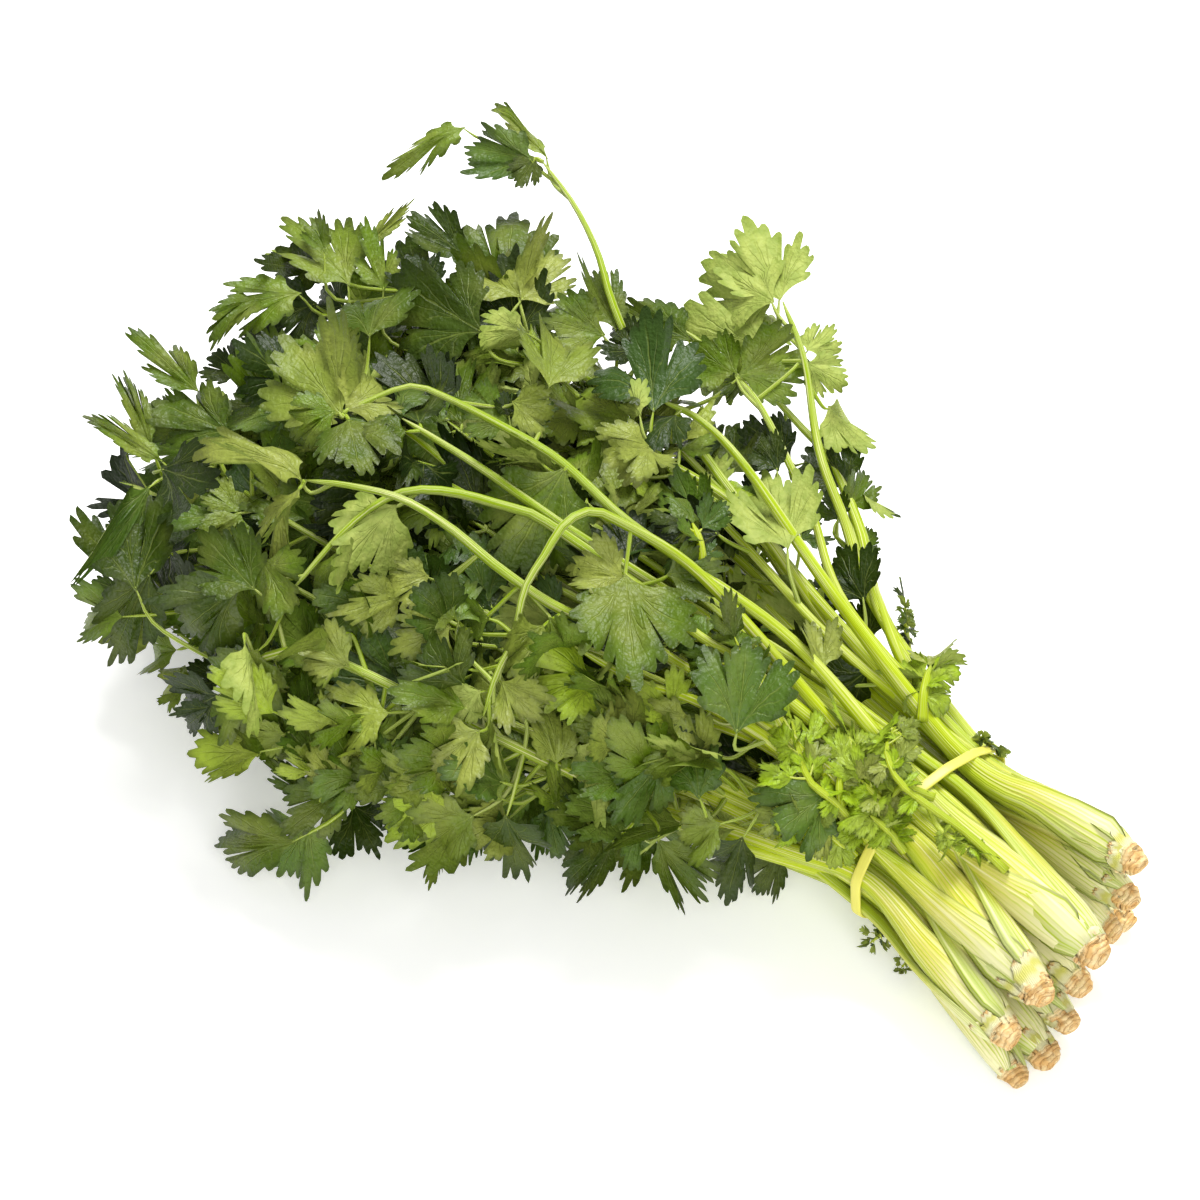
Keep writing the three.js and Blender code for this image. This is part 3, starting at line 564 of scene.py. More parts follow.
def stalk_material(look):
    """Coriander stalk: crisp, wet living tissue with fine ribs, cream at the foot, turning yellow-green
    and then green along its length, with pale stripes and pale sheath edges, and green painted shade on
    its flanks near the crown."""
    material, add = new_material("ribbed living stalk")
    around, run = add("split", add("uv"))
    tone = add("tone")
    lengthways = add("multiply", run, 0.03), add("multiply", tone, 50.0)
    thin = add("combine", add("multiply", around, THIN_STREAKS), *lengthways)
    wide = add("combine", add("multiply", around, WIDE_STREAKS), *lengthways)
    stripes = add("noise", thin, 1.0, 1.0)
    streak = add("noise", wide, 1.0, 2.0)
    ribs = add("sine", add("multiply", around, TURN * RIBS))

    # run is in mm from the root: cream foot, yellow-green by the band, green above it.
    wander = add("multiply", add("subtract", streak, 0.5), 36.0)
    shifted = add("add", run, wander)
    colour = add("mix", add("spread", shifted, 10.0, 45.0), look.foot, look.pale)
    colour = add("mix", add("spread", shifted, 34.0, 85.0), colour, look.lime)
    colour = add("mix", add("spread", shifted, 100.0, 230.0), colour, look.green)
    colour = add("mix", add("multiply", add("spread", stripes, 0.45, 0.7), 0.62), colour, look.stripe)
    lines = add("multiply", add("spread", ribs, 0.2, 0.95), add("spread", streak, 0.3, 0.6))
    fading = add("subtract", 0.85, add("spread", run, 60.0, 260.0))
    lines = add("multiply", lines, fading, use_clamp=True)
    colour = add("mix", lines, colour, look.lime)
    # Painted shade: near the crown, the sides of each wide stalk, where it meets its neighbours, are
    # mixed towards green. This stands in for the green shade between the stalks.
    side = add("absolute", add("sine", add("multiply", around, TURN)))
    painted_flank_shade = add("subtract", 1.0, add("spread", side, 0.25, 0.9))
    painted_flank_shade = add("multiply", painted_flank_shade, add("subtract", 1.0, add("spread", run, 60.0, 120.0)))
    colour = add("mix", add("multiply", painted_flank_shade, 0.55), colour, look.green)
    sheath = add("subtract", 1.0, add("spread", side, 0.02, 0.12))
    sheath = add("multiply", sheath, add("subtract", 1.0, add("spread", run, 30.0, 62.0)))
    colour = add("mix", add("multiply", sheath, 0.7), colour, look.foot)
    colour = add("mix", add("multiply", tone, 0.2), colour, look.green)

    bump = add("bump", add("add", add("multiply", ribs, 0.25), stripes), 0.4, 0.0005)
    add("output", add("principled", colour, 0.32, 1.45, bump, inputs={"Specular IOR Level": 0.2}))
    return material


def crown_material(look):
    """Coriander crown and root: a cream, moist neck with yellow-green streaks that turns to dry,
    ringed, flaking tan root skin, with darker lines in the cracks between the rings."""
    material, add = new_material("crown and trimmed root")
    around, run = add("split", add("uv"))
    place = add("place")
    coarse = add("noise", place, FLAKES, 5.0)
    fine = add("noise", place, GRAIN, 3.0)
    ribs = add("sine", add("multiply", around, TURN * RIBS))
    wander = add("multiply", add("subtract", coarse, 0.5), 7.0)
    shifted = add("add", run, wander)
    calm = add("add", run, add("multiply", wander, 0.45))
    rings = add("sine", add("multiply", calm, 3.6))

    neck = add("spread", shifted, 8.0, 11.5)
    skin = add("mix", add("spread", coarse, 0.38, 0.68), look.root, look.root_pale)
    skin = add("mix", add("multiply", add("spread", rings, 0.7, 1.0), 0.6), skin, look.root_dark)
    skin = add("mix", add("multiply", add("spread", fine, 0.58, 0.72), 0.5), skin, look.root_dark)
    cream = add("mix", add("spread", shifted, 13.0, 30.0), look.foot, look.pale)
    streaks = add("multiply", add("spread", ribs, 0.2, 0.95), add("spread", run, 10.0, 26.0))
    cream = add("mix", add("multiply", streaks, 0.6), cream, look.lime)
    colour = add("mix", neck, skin, cream)

    rough_side = add("subtract", 1.0, neck)
    relief = add("add", coarse, add("multiply", rings, -0.35))
    relief = add("add", relief, add("multiply", fine, 0.5))
    height = add("multiply", relief, rough_side)
    height = add("add", height, add("multiply", add("multiply", ribs, neck), 0.2))
    bump = add("bump", height, 0.7, 0.0008)
    rough = add("add", 0.42, add("multiply", rough_side, 0.35))
    add("output", add("principled", colour, rough, 1.4, bump, inputs={"Specular IOR Level": 0.2}))
    return material


def band_material(look):
    """Natural rubber band: moulded, stretched, pale yellow-green and a little translucent, with fine
    marks along it."""
    material, add = new_material("stretched natural rubber")
    around, run = add("split", add("uv"))
    stretch = add("combine", add("multiply", around, 30.0), add("multiply", run, 0.08))
    marks = add("noise", stretch, 1.0, 2.0)
    colour = add("mix", marks, look.colour, look.shade)
    depth = {"Subsurface Weight": 0.2, "Subsurface Radius": (1.0, 1.0, 0.4), "Subsurface Scale": 0.001}
    add("output", add("principled", colour, 0.45, 1.52, add("bump", marks, 0.3, 0.0002), inputs=depth))
    return material


# ---- Stalks ---------------------------------------------------------------------------------------

# How many stalks stand in a plant's outer and inner ring, how far out the inner ring is, and the mm
# at the band of one step out from the plant's middle.
OUTER_STALKS, INNER_STALKS = 5, 4
INNER_RING = 0.42
BAND_SPREAD = 7.2
# The root's length below its stalks' feet, and the radius of a usual crown, in mm.
ROOT_LENGTH = 7.5
USUAL_CROWN = 7.4
# A stalk's shape: mm along it from its foot, the half width of an outer stalk, which sheathes the
# crown, the half width of an inner one, and the half thickness of both.
STALK_RUN = [0, 3, 8, 20, 40, 65, 120, 200, 330]
OUTER_WIDTH = [4.6, 6.0, 7.2, 6.8, 4.6, 2.9, 1.9, 1.45, 1.0]
INNER_WIDTH = [1.6, 2.0, 2.2, 2.4, 2.5, 2.4, 1.9, 1.45, 1.0]
STALK_THICKNESS = [0.4, 0.9, 1.3, 1.6, 2.0, 2.0, 1.65, 1.25, 0.9]
# How finely stalks and side stalks are made: points round the ring, and rings along the path.
STALK_SIDES, STALK_STEPS = 14, 54
TWIG_SIDES, TWIG_STEPS = 6, 5
# The stalks' ends lie at shares of a range that the golden ratio spreads evenly.
GOLDEN = 0.6180339887
# The places past the band, x in mm, that a stalk is led through, and its least height, in mm.
STATIONS = (58, 10, -45, -100)
LOWEST_STALK = 3.5


def crown_frame(plant):
    """A plant's root, the way its crown points, and the directions to the side of that and up."""
    root = np.array(plant["root"], float)
    axis = unit(band_middle(plant) - root)
    side = unit(np.cross(axis, [0, 0, 1]))
    return root, axis, side, np.cross(side, axis)


def band_middle(plant):
    """Where the middle of a plant passes the band."""
    return np.array([BAND_MIDDLE[0], *plant["band"]])


def ring_slots(rng, plant):
    """The places of a plant's stalks in its two rings, as steps out from the plant's middle."""
    _, _, side, up = crown_frame(plant)
    slots = []
    start = rng.uniform(0, TURN)
    for k in range(OUTER_STALKS):
        turn = start + TURN * (k + rng.uniform(-0.26, 0.26)) / OUTER_STALKS
        slots.append(rng.uniform(1.0, 1.8) * (np.cos(turn) * side + np.sin(turn) * up))
    for k in range(INNER_STALKS):
        turn = start + TURN * (k + 0.5) / INNER_STALKS
        slots.append(INNER_RING * (np.cos(turn) * side + np.sin(turn) * up))
    return slots


def fanned_points(rng, at_band, share):
    """The points past the band of a stalk that fans out: it keeps its angle in the cross-section while
    the cross-section widens. On the front it stays a little further in. A share of 0 ends it at the
    leafy end, and 1 near the middle."""
    flat = (at_band[1:] - SECTION_CENTRE[-1]) / SECTION_HALF[-1]
    angle = np.arctan2(flat[1], flat[0]) + rng.uniform(-0.12, 0.12)
    out = min(1.0, np.hypot(*flat)) ** 0.8 * rng.uniform(0.88, 0.98)
    facing = FRONT[1] * np.cos(angle) + FRONT[2] * np.sin(angle)
    out *= 1 - 0.12 * max(facing, 0) + 0.1 * max(-facing, 0)
    end = -155.0 + 120.0 * share if out < 0.75 else -157.0 + 141.0 * share**1.2
    stations = [x for x in STATIONS if x > end + 22]
    wobble = rng.normal(0, 1, (len(stations) + 1, 2)) * 2.5
    via = [section_point(x, angle, out * (0.84 if x > -50 else 0.9)) for x in stations]
    via.append(section_point(end, angle, out * 0.93))
    via = np.array(via)
    via[:, 1:] += wobble
    via[:, 2] = np.maximum(via[:, 2], LOWEST_STALK)
    return via


def plan_bunch(seed=7):
    """Where every stalk runs. A leading stalk takes the place in its plant's rings that lies nearest
    to its own points, and the stalks in the other places fan out."""
    rng = np.random.default_rng(seed)
    stalks, count = [], 0
    for p, plant in enumerate(PLANTS):
        middle = band_middle(plant)
        free = ring_slots(rng, plant)
        for _, pairs, via in of_plant(p, LEADING_STALKS):
            heading = unit(np.array(via[0]) - middle)
            nearest = max(range(len(free)), key=lambda k: free[k] @ heading)
            stalks.append(make_stalk(rng, p, free.pop(nearest), via, True) | {"pairs": pairs})
        for slot in free:
            share = (count * GOLDEN + 0.37) % 1.0
            count += 1
            via = fanned_points(rng, band_place(middle, slot), share)
            made = make_stalk(rng, p, slot, via, False)
            stalks.append(made | {"pairs": int(rng.integers(2, 4))})
    return stalks


def band_place(middle, slot):
    """Where a stalk passes the band: out from its plant's middle, but always within the tight loop."""
    place = middle + BAND_SPREAD * slot
    flat = (place[1:] - SECTION_CENTRE[-1]) / SECTION_HALF[-1]
    flat *= min(1.0, 0.93 / np.hypot(*flat))
    return np.array([place[0], *(SECTION_CENTRE[-1] + flat * SECTION_HALF[-1])])


def make_stalk(rng, p, slot, via, leading):
    """A stalk: from inside its crown, out along the crown's side, past the band, and on through via. The
    stalks of a crown lie one over another like those of celery, so each one lies a little lower or
    higher, at random."""
    plant = PLANTS[p]
    root, axis, _, _ = crown_frame(plant)
    overlap = rng.choice([-0.12, 0.1]) + rng.uniform(-0.04, 0.04)
    out = slot / max(1.0, np.linalg.norm(slot)) * plant["radius"]
    foot = root + axis * (ROOT_LENGTH + rng.uniform(-3.0, 0.5)) + out * (0.6 + overlap)
    waist = root + axis * 17.0 + out * (0.8 + overlap)
    at_band = band_place(band_middle(plant), slot)
    shoulder = waist + 0.4 * (at_band - waist)
    path = smooth_path([foot, waist, shoulder, at_band, *via], STALK_STEPS)
    size = rng.uniform(0.86, 1.14) * (1.12 if leading else 1.0)
    return {
        "plant": p,
        "path": path,
        "size": size,
        "girth": plant["radius"] / USUAL_CROWN,
        "tone": rng.uniform(0, 1),
        "slot": slot,
    }


def carried_frame(path, reference):
    """Along, side and up directions at each point of a path, with up carried on without a twist."""
    along = unit(np.gradient(path, axis=0))
    up = np.empty_like(along)
    way = np.asarray(reference, float)
    for k, ahead in enumerate(along):
        way = unit(way - ahead * (ahead @ way))
        up[k] = way
    return along, np.cross(along, up), up


def stalk_skin(stalk):
    """A stalk's skin: rings of points round its path. In the crown the ring is a wide crescent that
    hugs the crown's axis, like the foot of a celery stalk. It grows round by the band and thins to
    the tip. Ribs run along the outer side."""
    path = stalk["path"]
    run = run_along(path)
    outer = np.linalg.norm(stalk["slot"]) > INNER_RING + 0.1
    _, side, up = carried_frame(path, stalk["slot"])
    wide = np.interp(run, STALK_RUN, OUTER_WIDTH if outer else INNER_WIDTH)
    thick = np.interp(run, STALK_RUN, STALK_THICKNESS)
    taper = 1 - 0.35 * np.clip((run - run[-1] + 60) / 60, 0, 1)
    taper *= np.clip(0.3 + (run[-1] - run) / 10, 0, 1)
    near_crown = np.clip((80 - run) / 40, 0, 1)
    wide = wide * stalk["size"] * taper * (1 + (stalk["girth"] - 1) * near_crown)
    thick = thick * stalk["size"] * taper
    hug = 0.09 * np.exp(-((run / 34.0) ** 2)) if outer else 0 * run
    turn = np.linspace(0, TURN, STALK_SIDES, endpoint=False)
    ribbed = 1 + 0.045 * np.cos(6 * turn)
    u = wide[:, None] * ribbed * np.cos(turn)
    v = thick[:, None] * ribbed * np.sin(turn) - hug[:, None] * u**2
    rings = round_path(path[:, None], u, side[:, None], v, up[:, None])
    return loft(rings[:, ::-1], stalk["tone"], run + ROOT_LENGTH)


def twig_skin(path, radius, tone, run_start):
    """A thin side stalk: a round tube that tapers, most of all where it ends."""
    _, side, up = carried_frame(path, np.array([0.31, 0.52, 0.79]))
    turn = np.linspace(0, TURN, TWIG_SIDES, endpoint=False)
    share = np.linspace(0, 1, len(path))
    width = radius * (1 - 0.35 * share) * np.minimum(1.0, 0.35 + 3.0 * (1 - share))
    u, v = width[:, None] * np.cos(turn), width[:, None] * np.sin(turn)
    rings = round_path(path[:, None], u, side[:, None], v, up[:, None])
    return loft(rings[:, ::-1], tone, np.full(len(path), run_start))


# ---- Leaves ---------------------------------------------------------------------------------------

# A leaflet's margin, given from the tooth at its tip outwards: a lobe of five teeth, of which half
# is listed, and a side lobe of five. Shares of the width, reaches from the base, and how deep the
# notch after each tooth cuts, the deepest being the fork between the lobes.
HALF_SHARE = [1.0, 1.0, 0.95, 0.95, 1.0, 1.0, 1.1, 1.2]
HALF_REACH = [1.0, 0.93, 0.84, 0.82, 0.89, 0.82, 0.7, 0.54]
HALF_NOTCH = [0.06, 0.11, 0.42, 0.055, 0.12, 0.06, 0.08, 0.0]
TOOTH_SHARE = np.array(HALF_SHARE[:0:-1] + HALF_SHARE)
TOOTH_REACH = np.array(HALF_REACH[:0:-1] + HALF_REACH)
NOTCH_DEPTH = np.array(HALF_NOTCH[::-1] + HALF_NOTCH)
TEETH = len(TOOTH_SHARE)
LOBE_OF_TOOTH = np.array([0] * 5 + [1] * 5 + [2] * 5)
# How finely a leaflet is made: the points of a tooth as (place, reach) after its notch, and the
# rings inside the margin. The leaflets that stand out have rounder teeth.
PLAIN = ([(0.28, 0.97), (0.7, 0.98)], [0.42, 0.84])
ROUND = ([(0.2, 0.955), (0.5, 1.0), (0.8, 0.955)], [0.3, 0.6, 0.88])
FINE = ([(0.13, 0.945), (0.34, 0.99), (0.62, 1.0), (0.86, 0.95)], [0.24, 0.48, 0.7, 0.9])
BLADE_THICKNESS = 0.32
# The least bend of a blade, in radians, because a round circle can't be straight.
STRAIGHT = 1e-3
# A notch deeper than this share of the reach is a fork between two lobes, and a fork cuts no deeper
# than half of it.
FORK, DEEPEST_FORK = 0.2, 0.5


def outlines(rng, count, tooth, cut):
    """The margins of count leaflets, as an angle (-1 to 1) and a reach (0 to 1) for each point, with
    the lobe that each point belongs to. A tooth is its notch and then the given points."""
    shares = TOOTH_SHARE * rng.uniform(0.75, 1.25, (count, TEETH))
    edges = np.concatenate([np.zeros((count, 1)), np.cumsum(shares, axis=1)], axis=1)
    edges = 2 * edges / edges[:, -1:] - 1
    depth = NOTCH_DEPTH * rng.uniform(0.65, 1.3, (count, TEETH + 1))
    depth = np.where(NOTCH_DEPTH > FORK, np.minimum(depth * cut[:, None], DEEPEST_FORK), depth)
    tip = TOOTH_REACH * rng.uniform(0.95, 1.05, (count, TEETH))
    tip *= rng.uniform(0.88, 1.08, (count, 3))[:, LOBE_OF_TOOTH]
    places, heights = np.array([(0.0, 0.0)] + tooth).T
    angle = edges[:, :-1, None] + places * (edges[:, 1:] - edges[:, :-1])[..., None]
    before = np.concatenate([tip[:, :1], tip], axis=1)[:, :-1]
    reach = tip[..., None] * heights * rng.normal(1, 0.01, (count, TEETH, len(places)))
    reach[..., 0] = np.minimum(before, tip) * (1 - depth[:, :-1])
    angle = np.concatenate([angle.reshape(count, -1), edges[:, -1:]], axis=1)
    reach = np.concatenate([reach.reshape(count, -1), reach[:, -1:, 0]], axis=1)
    reach[:, [0, -1]] = rng.uniform(0.3, 0.42, (count, 2))
    weight = np.repeat(np.eye(3)[LOBE_OF_TOOTH], len(places), axis=0)
    weight = np.vstack([weight, weight[-1]])
    first = np.arange(1, TEETH) * len(places)
    weight[first] = 0.5 * (weight[first] + weight[first - 1])
    return angle, reach, weight


def blade_faces(rings, points_a_tooth):
    """The triangles of one leaflet and their count a sheet. Point 0 is the base, then come the upper
    rings, the margin, and the lower rings, which share the two edge columns of the upper ones. A
    ring has a point at each notch. A tooth is filled from the two ring points that stand below it."""
    columns = TEETH + 1
    upper = 1 + np.arange(rings * columns).reshape(rings, columns)
    margin = 1 + rings * columns + np.arange(TEETH * points_a_tooth + 1)
    lower = upper.copy()
    lower[:, 1:-1] = margin[-1] + 1 + np.arange(rings * (columns - 2)).reshape(rings, -1)
    share = np.full(TEETH, points_a_tooth // 2)
    share[0], share[-1] = 0, points_a_tooth
    sheets = []
    for grid in (upper, lower):
        a, b, c, d = grid[:-1, :-1], grid[:-1, 1:], grid[1:, 1:], grid[1:, :-1]
        sheet = [(0, grid[0, k], grid[0, k + 1]) for k in range(TEETH)]
        for half in ((a, c, b), (a, d, c)):
            sheet += [tuple(tri) for tri in np.stack(half, -1).reshape(-1, 3)]
        for k in range(TEETH):
            left, right = grid[-1, k], grid[-1, k + 1]
            rim = margin[k * points_a_tooth : (k + 1) * points_a_tooth + 1]
            sheet += [(left, rim[j], rim[j + 1]) for j in range(share[k])]
            sheet += [(left, rim[share[k]], right)]
            sheet += [(right, rim[j], rim[j + 1]) for j in range(share[k], points_a_tooth)]
        sheets.append(np.array(sheet))
    return sheets


def picked(leaflets, key):
    """One measure of all the leaflets."""
    return np.array([leaf[key] for leaf in leaflets], float)


def relief(rng, leaflets, angle, far, u, v, weight):
    """How far the points of the fans stand up, as a share of the leaflet's length. Waves that grow
    towards the margin ruffle a fan, it is puckered all over, keeled along its middle, curled at its
    margin and twisted, and each lobe rises or falls by its own amount past the fork."""
    count = len(leaflets)
    phase = rng.uniform(0, TURN, (count, 1))
    waves = rng.uniform(5.0, 9.0, (count, 1))
    ruffle = picked(leaflets, "ruffle")[:, None] * np.sin(waves * angle + phase) * far**2
    k, shift = rng.uniform(4.0, 9.0, (2, count, 1)), rng.uniform(0, TURN, (2, count, 1))
    pucker = 0.035 * np.sin(k[0] * u + shift[0]) * np.sin(k[1] * v + shift[1])
    pucker = pucker * np.minimum(3 * far, 1)
    lobes = rng.normal(0, 0.4, (count, 3)) @ weight.T
    keel = 0.12 * np.abs(u) * np.minimum(2 * far, 1)
    curl, twist = rng.normal(0, 0.05, (count, 1)), rng.normal(0, 0.22, (count, 1))
    lift = ruffle + pucker + keel + curl * far**4 + twist * u * v
    return lift + lobes * np.maximum(far - 0.3, 0) ** 1.5


def blade_pattern(tris, ring, inside, rings, step):
    """The place of each corner of a leaflet's triangles in the pattern: across the fan and out from
    its base, both 0 to 1. A corner at the base takes the middle of its triangle's place across."""
    notches, margin = np.linspace(0, 1, TEETH + 1), np.linspace(0, 1, TEETH * step + 1)
    column = np.append(np.tile(notches, rings), margin)
    grid_uv = np.stack([column, ring], -1)
    tri_uv = np.vstack([[[0.5, 0.0]], grid_uv, grid_uv[inside]])[tris]
    beside = (tri_uv[:, :, 0].sum(axis=1, keepdims=True) - 0.5) / 2
    tri_uv[:, :, 0] = np.where(tris == 0, beside, tri_uv[:, :, 0])
    return tri_uv


def blades(rng, leaflets, tooth, ring_reach):
    """The skins of all the leaflets at once. A leaflet is a fan of rings about its base: a point at
    angle a and reach r lies at (r sin a, r cos a), and the angles close up towards the base, which
    makes it wedge-shaped. The fan is rolled across its width and then bent down along its length,
    both round circles, and stands up by its relief. The upper and lower skins meet at the margin."""
    count, rings, step = len(leaflets), len(ring_reach), len(tooth) + 1
    edge_angle, edge_reach, edge_weight = outlines(rng, count, tooth, picked(leaflets, "cut"))
    ring = np.append(np.repeat(ring_reach, TEETH + 1), np.ones(TEETH * step + 1))
    angle = np.concatenate([np.tile(edge_angle[:, ::step], rings), edge_angle], axis=1)
    reach = np.concatenate([np.tile(edge_reach[:, ::step], rings), edge_reach], axis=1)
    weight = np.vstack([np.tile(edge_weight[::step], (rings, 1)), edge_weight])

    turn = angle * picked(leaflets, "span")[:, None] * (0.55 + 0.45 * ring)
    far = reach * ring
    u = far * np.sin(turn) * picked(leaflets, "breadth")[:, None]
    v = far * np.cos(turn)
    bends = (picked(leaflets, key)[:, None] for key in ("roll", "droop"))
    roll, droop = (np.where(np.abs(bend) < STRAIGHT, STRAIGHT, bend) for bend in bends)
    lift = relief(rng, leaflets, angle, far, u, v, weight) + (1 - np.cos(roll * u)) / roll
    across = np.sin(roll * u) / roll
    forward = np.sin(droop * v) / droop
    fall = -(1 - np.cos(droop * v)) / droop

    base, length = picked(leaflets, "base")[:, None], picked(leaflets, "length")[:, None, None]
    grow = unit(picked(leaflets, "grow"))
    side = unit(np.cross(grow, picked(leaflets, "face")))
    face = np.cross(side, grow)
    side, grow, face = (way[:, None, :] for way in (side, grow, face))
    bent = np.cos(droop * v)[..., None] * face + np.sin(droop * v)[..., None] * grow
    flat = across[..., None] * side + forward[..., None] * grow + fall[..., None] * face
    surface = base + length * (flat + lift[..., None] * bent)

    inner = np.zeros((rings, TEETH + 1), bool)
    inner[:, 1:-1] = True
    inside = np.append(inner.ravel(), np.zeros(TEETH * step + 1, bool))
    half = 0.5 * BLADE_THICKNESS * inside[None, :, None] * bent
    points = np.concatenate([base, surface + half, (surface - half)[:, inside]], axis=1)
    each = points.shape[1]

    sheets = blade_faces(rings, step)
    tris = np.vstack([sheets[0][:, ::-1], sheets[1]])
    start = (np.arange(count) * each)[:, None, None]
    return {
        "points": points.reshape(-1, 3),
        "quads": np.zeros((0, 4), int),
        "quad_uv": np.zeros((0, 4, 2)),
        "tris": (tris[None] + start).reshape(-1, 3),
        "tri_uv": np.tile(blade_pattern(tris, ring, inside, rings, step), (count, 1, 1)),
        "tone": np.repeat(picked(leaflets, "tone"), each),
        "under": np.tile(np.repeat([0.0, 1.0], len(sheets[0])), count),
    }


# The leaflet length, in mm, that the spacing of leaflets and side stalks is given for.
USUAL_LEAFLET = 26
# Side stalks have the colour that a stalk has this many mm along: green on leaflets with a row of
# their own, and paler on the late shoots and in their leaves.
GREEN_RUN = 215.0
SHOOT_RUN, SHOOT_LEAF_RUN = 90.0, 120.0


def leaflet(rng, base, grow, face, length, tone, limp=1.0):
    """One leaflet's growth: its place, directions, size and how it is bent."""
    return {
        "base": base,
        "grow": unit(grow + 0.15 * rng.normal(0, 1, 3)),
        "face": unit(face + 0.3 * limp * rng.normal(0, 1, 3)),
        "length": length,
        "span": rng.uniform(1.05, 1.4),
        "breadth": rng.uniform(0.88, 1.12),
        "droop": rng.uniform(-0.4, 1.6) * limp,
        "roll": rng.choice([-1, 1], p=[0.6, 0.4]) * rng.uniform(0.1, 1.9) * limp,
        "ruffle": rng.uniform(0.03, 0.1),
        "cut": rng.uniform(1.0, 1.5),
        "tone": np.clip(tone + rng.normal(0, 0.13), 0, 1),
    }


def grow_leaf(rng, path, face, size, pairs, tone, run_start, limp=1.0):
    """A compound leaf at the end of a stalk: a leaflet at the tip and pairs of them behind it. The
    first pair sits close, and the later ones stand on side stalks with three leaflets each."""
    leaflets, twigs = [], []
    run = run_along(path)
    along = unit(np.gradient(path, axis=0))
    large = size * rng.uniform(1.05, 1.35)
    leaflets.append(leaflet(rng, path[-1], along[-1], face, large, tone, limp))
    back = 0.0
    for pair in range(pairs):
        back += (rng.uniform(6, 11) if pair == 0 else rng.uniform(18, 28)) * size / USUAL_LEAFLET
        if back > run[-1] * 0.6:
            break
        at = sampled(run[-1] - back, run, path)
        ahead = unit(sampled(run[-1] - back, run, along))
        side = unit(np.cross(ahead, face))
        for hand in (-1, 1):
            opening = rng.uniform(0.75, 1.25)
            lift = 0.3 * rng.normal()
            go = unit(np.cos(opening) * ahead + np.sin(opening) * hand * side + lift * face)
            reach = (rng.uniform(2, 6) if pair == 0 else rng.uniform(10, 20)) * size / USUAL_LEAFLET
            bend = at + go * reach * 0.5 + ahead * reach * 0.06
            end = at + go * reach + ahead * reach * 0.22
            girth = 0.8 * (size / USUAL_LEAFLET) ** 0.5
            twig = smooth_path([at, bend, end], TWIG_STEPS)
            twigs.append(twig_skin(twig, girth, tone, run_start))
            ends = unit(end - bend)
            usual = size * rng.uniform(0.8, 1.1)
            leaflets.append(leaflet(rng, end, ends, face, usual, tone, limp))
            if pair > 0:
                for other in (-1, 1):
                    across = unit(np.cross(ends, face))
                    way = unit(ends * 0.5 + other * across)
                    small = size * rng.uniform(0.6, 0.8)
                    leaflets.append(leaflet(rng, end - ends * 2.5, way, face, small, tone, limp))
    return leaflets, twigs


# The longest side stalk, in mm, that a leaflet reaches back to a stalk with.
LONGEST_TWIG = 45


def lead_leaf(rng, row, stalks):
    """The leaflet of a row like those of LEADING_LEAVES, with a side stalk back to the nearest stalk
    behind it."""
    _, base, tip, turn, fold, droop, breadth, tone = row
    base, tip = np.array(base, float), np.array(tip, float)
    grow = unit(tip - base)
    outward = section_outward(base)
    face = turned(unit(FRONT - grow * (grow @ FRONT)), grow, np.radians(turn))
    chord = np.sin(droop / 2) / (droop / 2)
    rise, tuck = np.cos(droop / 2), np.sin(droop / 2)
    first = rise * grow + tuck * face
    blade = leaflet(rng, base, first, face, np.linalg.norm(tip - base) / chord, tone)
    blade |= {"grow": first, "face": rise * face - tuck * grow, "droop": droop}
    blade |= {"roll": 1.25 * fold, "breadth": 0.92 * breadth, "tone": tone}
    blade |= {"span": rng.uniform(1.08, 1.3), "cut": rng.uniform(1.2, 1.7)}
    behind = base - 14 * grow - 5 * outward
    spots = np.concatenate([stalk["path"][8:] for stalk in stalks])
    root = spots[np.linalg.norm(spots - behind, axis=1).argmin()]
    if np.linalg.norm(root - base) > LONGEST_TWIG:
        root = behind - 6 * outward
    bend = base - (0.25 * first + 0.25 * outward) * np.linalg.norm(root - base)
    twig = smooth_path([root, bend, base + 1.5 * first], 12)
    return blade, twig_skin(twig, 0.85, tone, GREEN_RUN)


def hidden_row(rng, p):
    """A row for a leaflet deep in the bunch, like those that close the view through a real one. Its low
    tone paints it near black: painted shade for the dark gaps between the leaves.
    """
    y, z = (np.array(PLANTS[p]["band"]) - SECTION_CENTRE[-1]) / SECTION_HALF[-1]
    x, angle, out = rng.uniform(-145, 75), np.arctan2(z, y) + rng.normal(0, 0.7), rng.uniform(0.2, 0.8)
    base = section_point(x, angle, out)
    tip = base + rng.uniform(18, 28) * unit(np.array([-1.0, *rng.normal(0, 0.6, 2)]))
    turn, fold, droop = rng.uniform(0, 360), rng.uniform(-1.2, 1.2), rng.uniform(0.1, 1.2)
    return p, base, tip, turn, fold, droop, rng.uniform(1.0, 1.3), rng.uniform(0, 0.12)


def cover_row(rng, p):
    """A row for a leaflet that lies against the lower front of the bunch, over its stalks."""
    angle = np.radians(rng.uniform(118, 192))
    base = section_point(rng.uniform(-62, 66), angle, rng.uniform(0.9, 1.02))
    outwards = np.array([0, np.cos(angle), np.sin(angle)])
    way = np.array([-0.7, *rng.normal(0, 0.7, 2)]) + 0.4 * outwards
    tip = base + rng.uniform(16, 25) * unit(way)
    turn, fold, droop = rng.normal(0, 35), rng.uniform(-1.0, 1.6), rng.uniform(0.2, 1.4)
    return p, base, tip, turn, fold, droop, rng.uniform(0.85, 1.15), rng.uniform(0.2, 0.95)


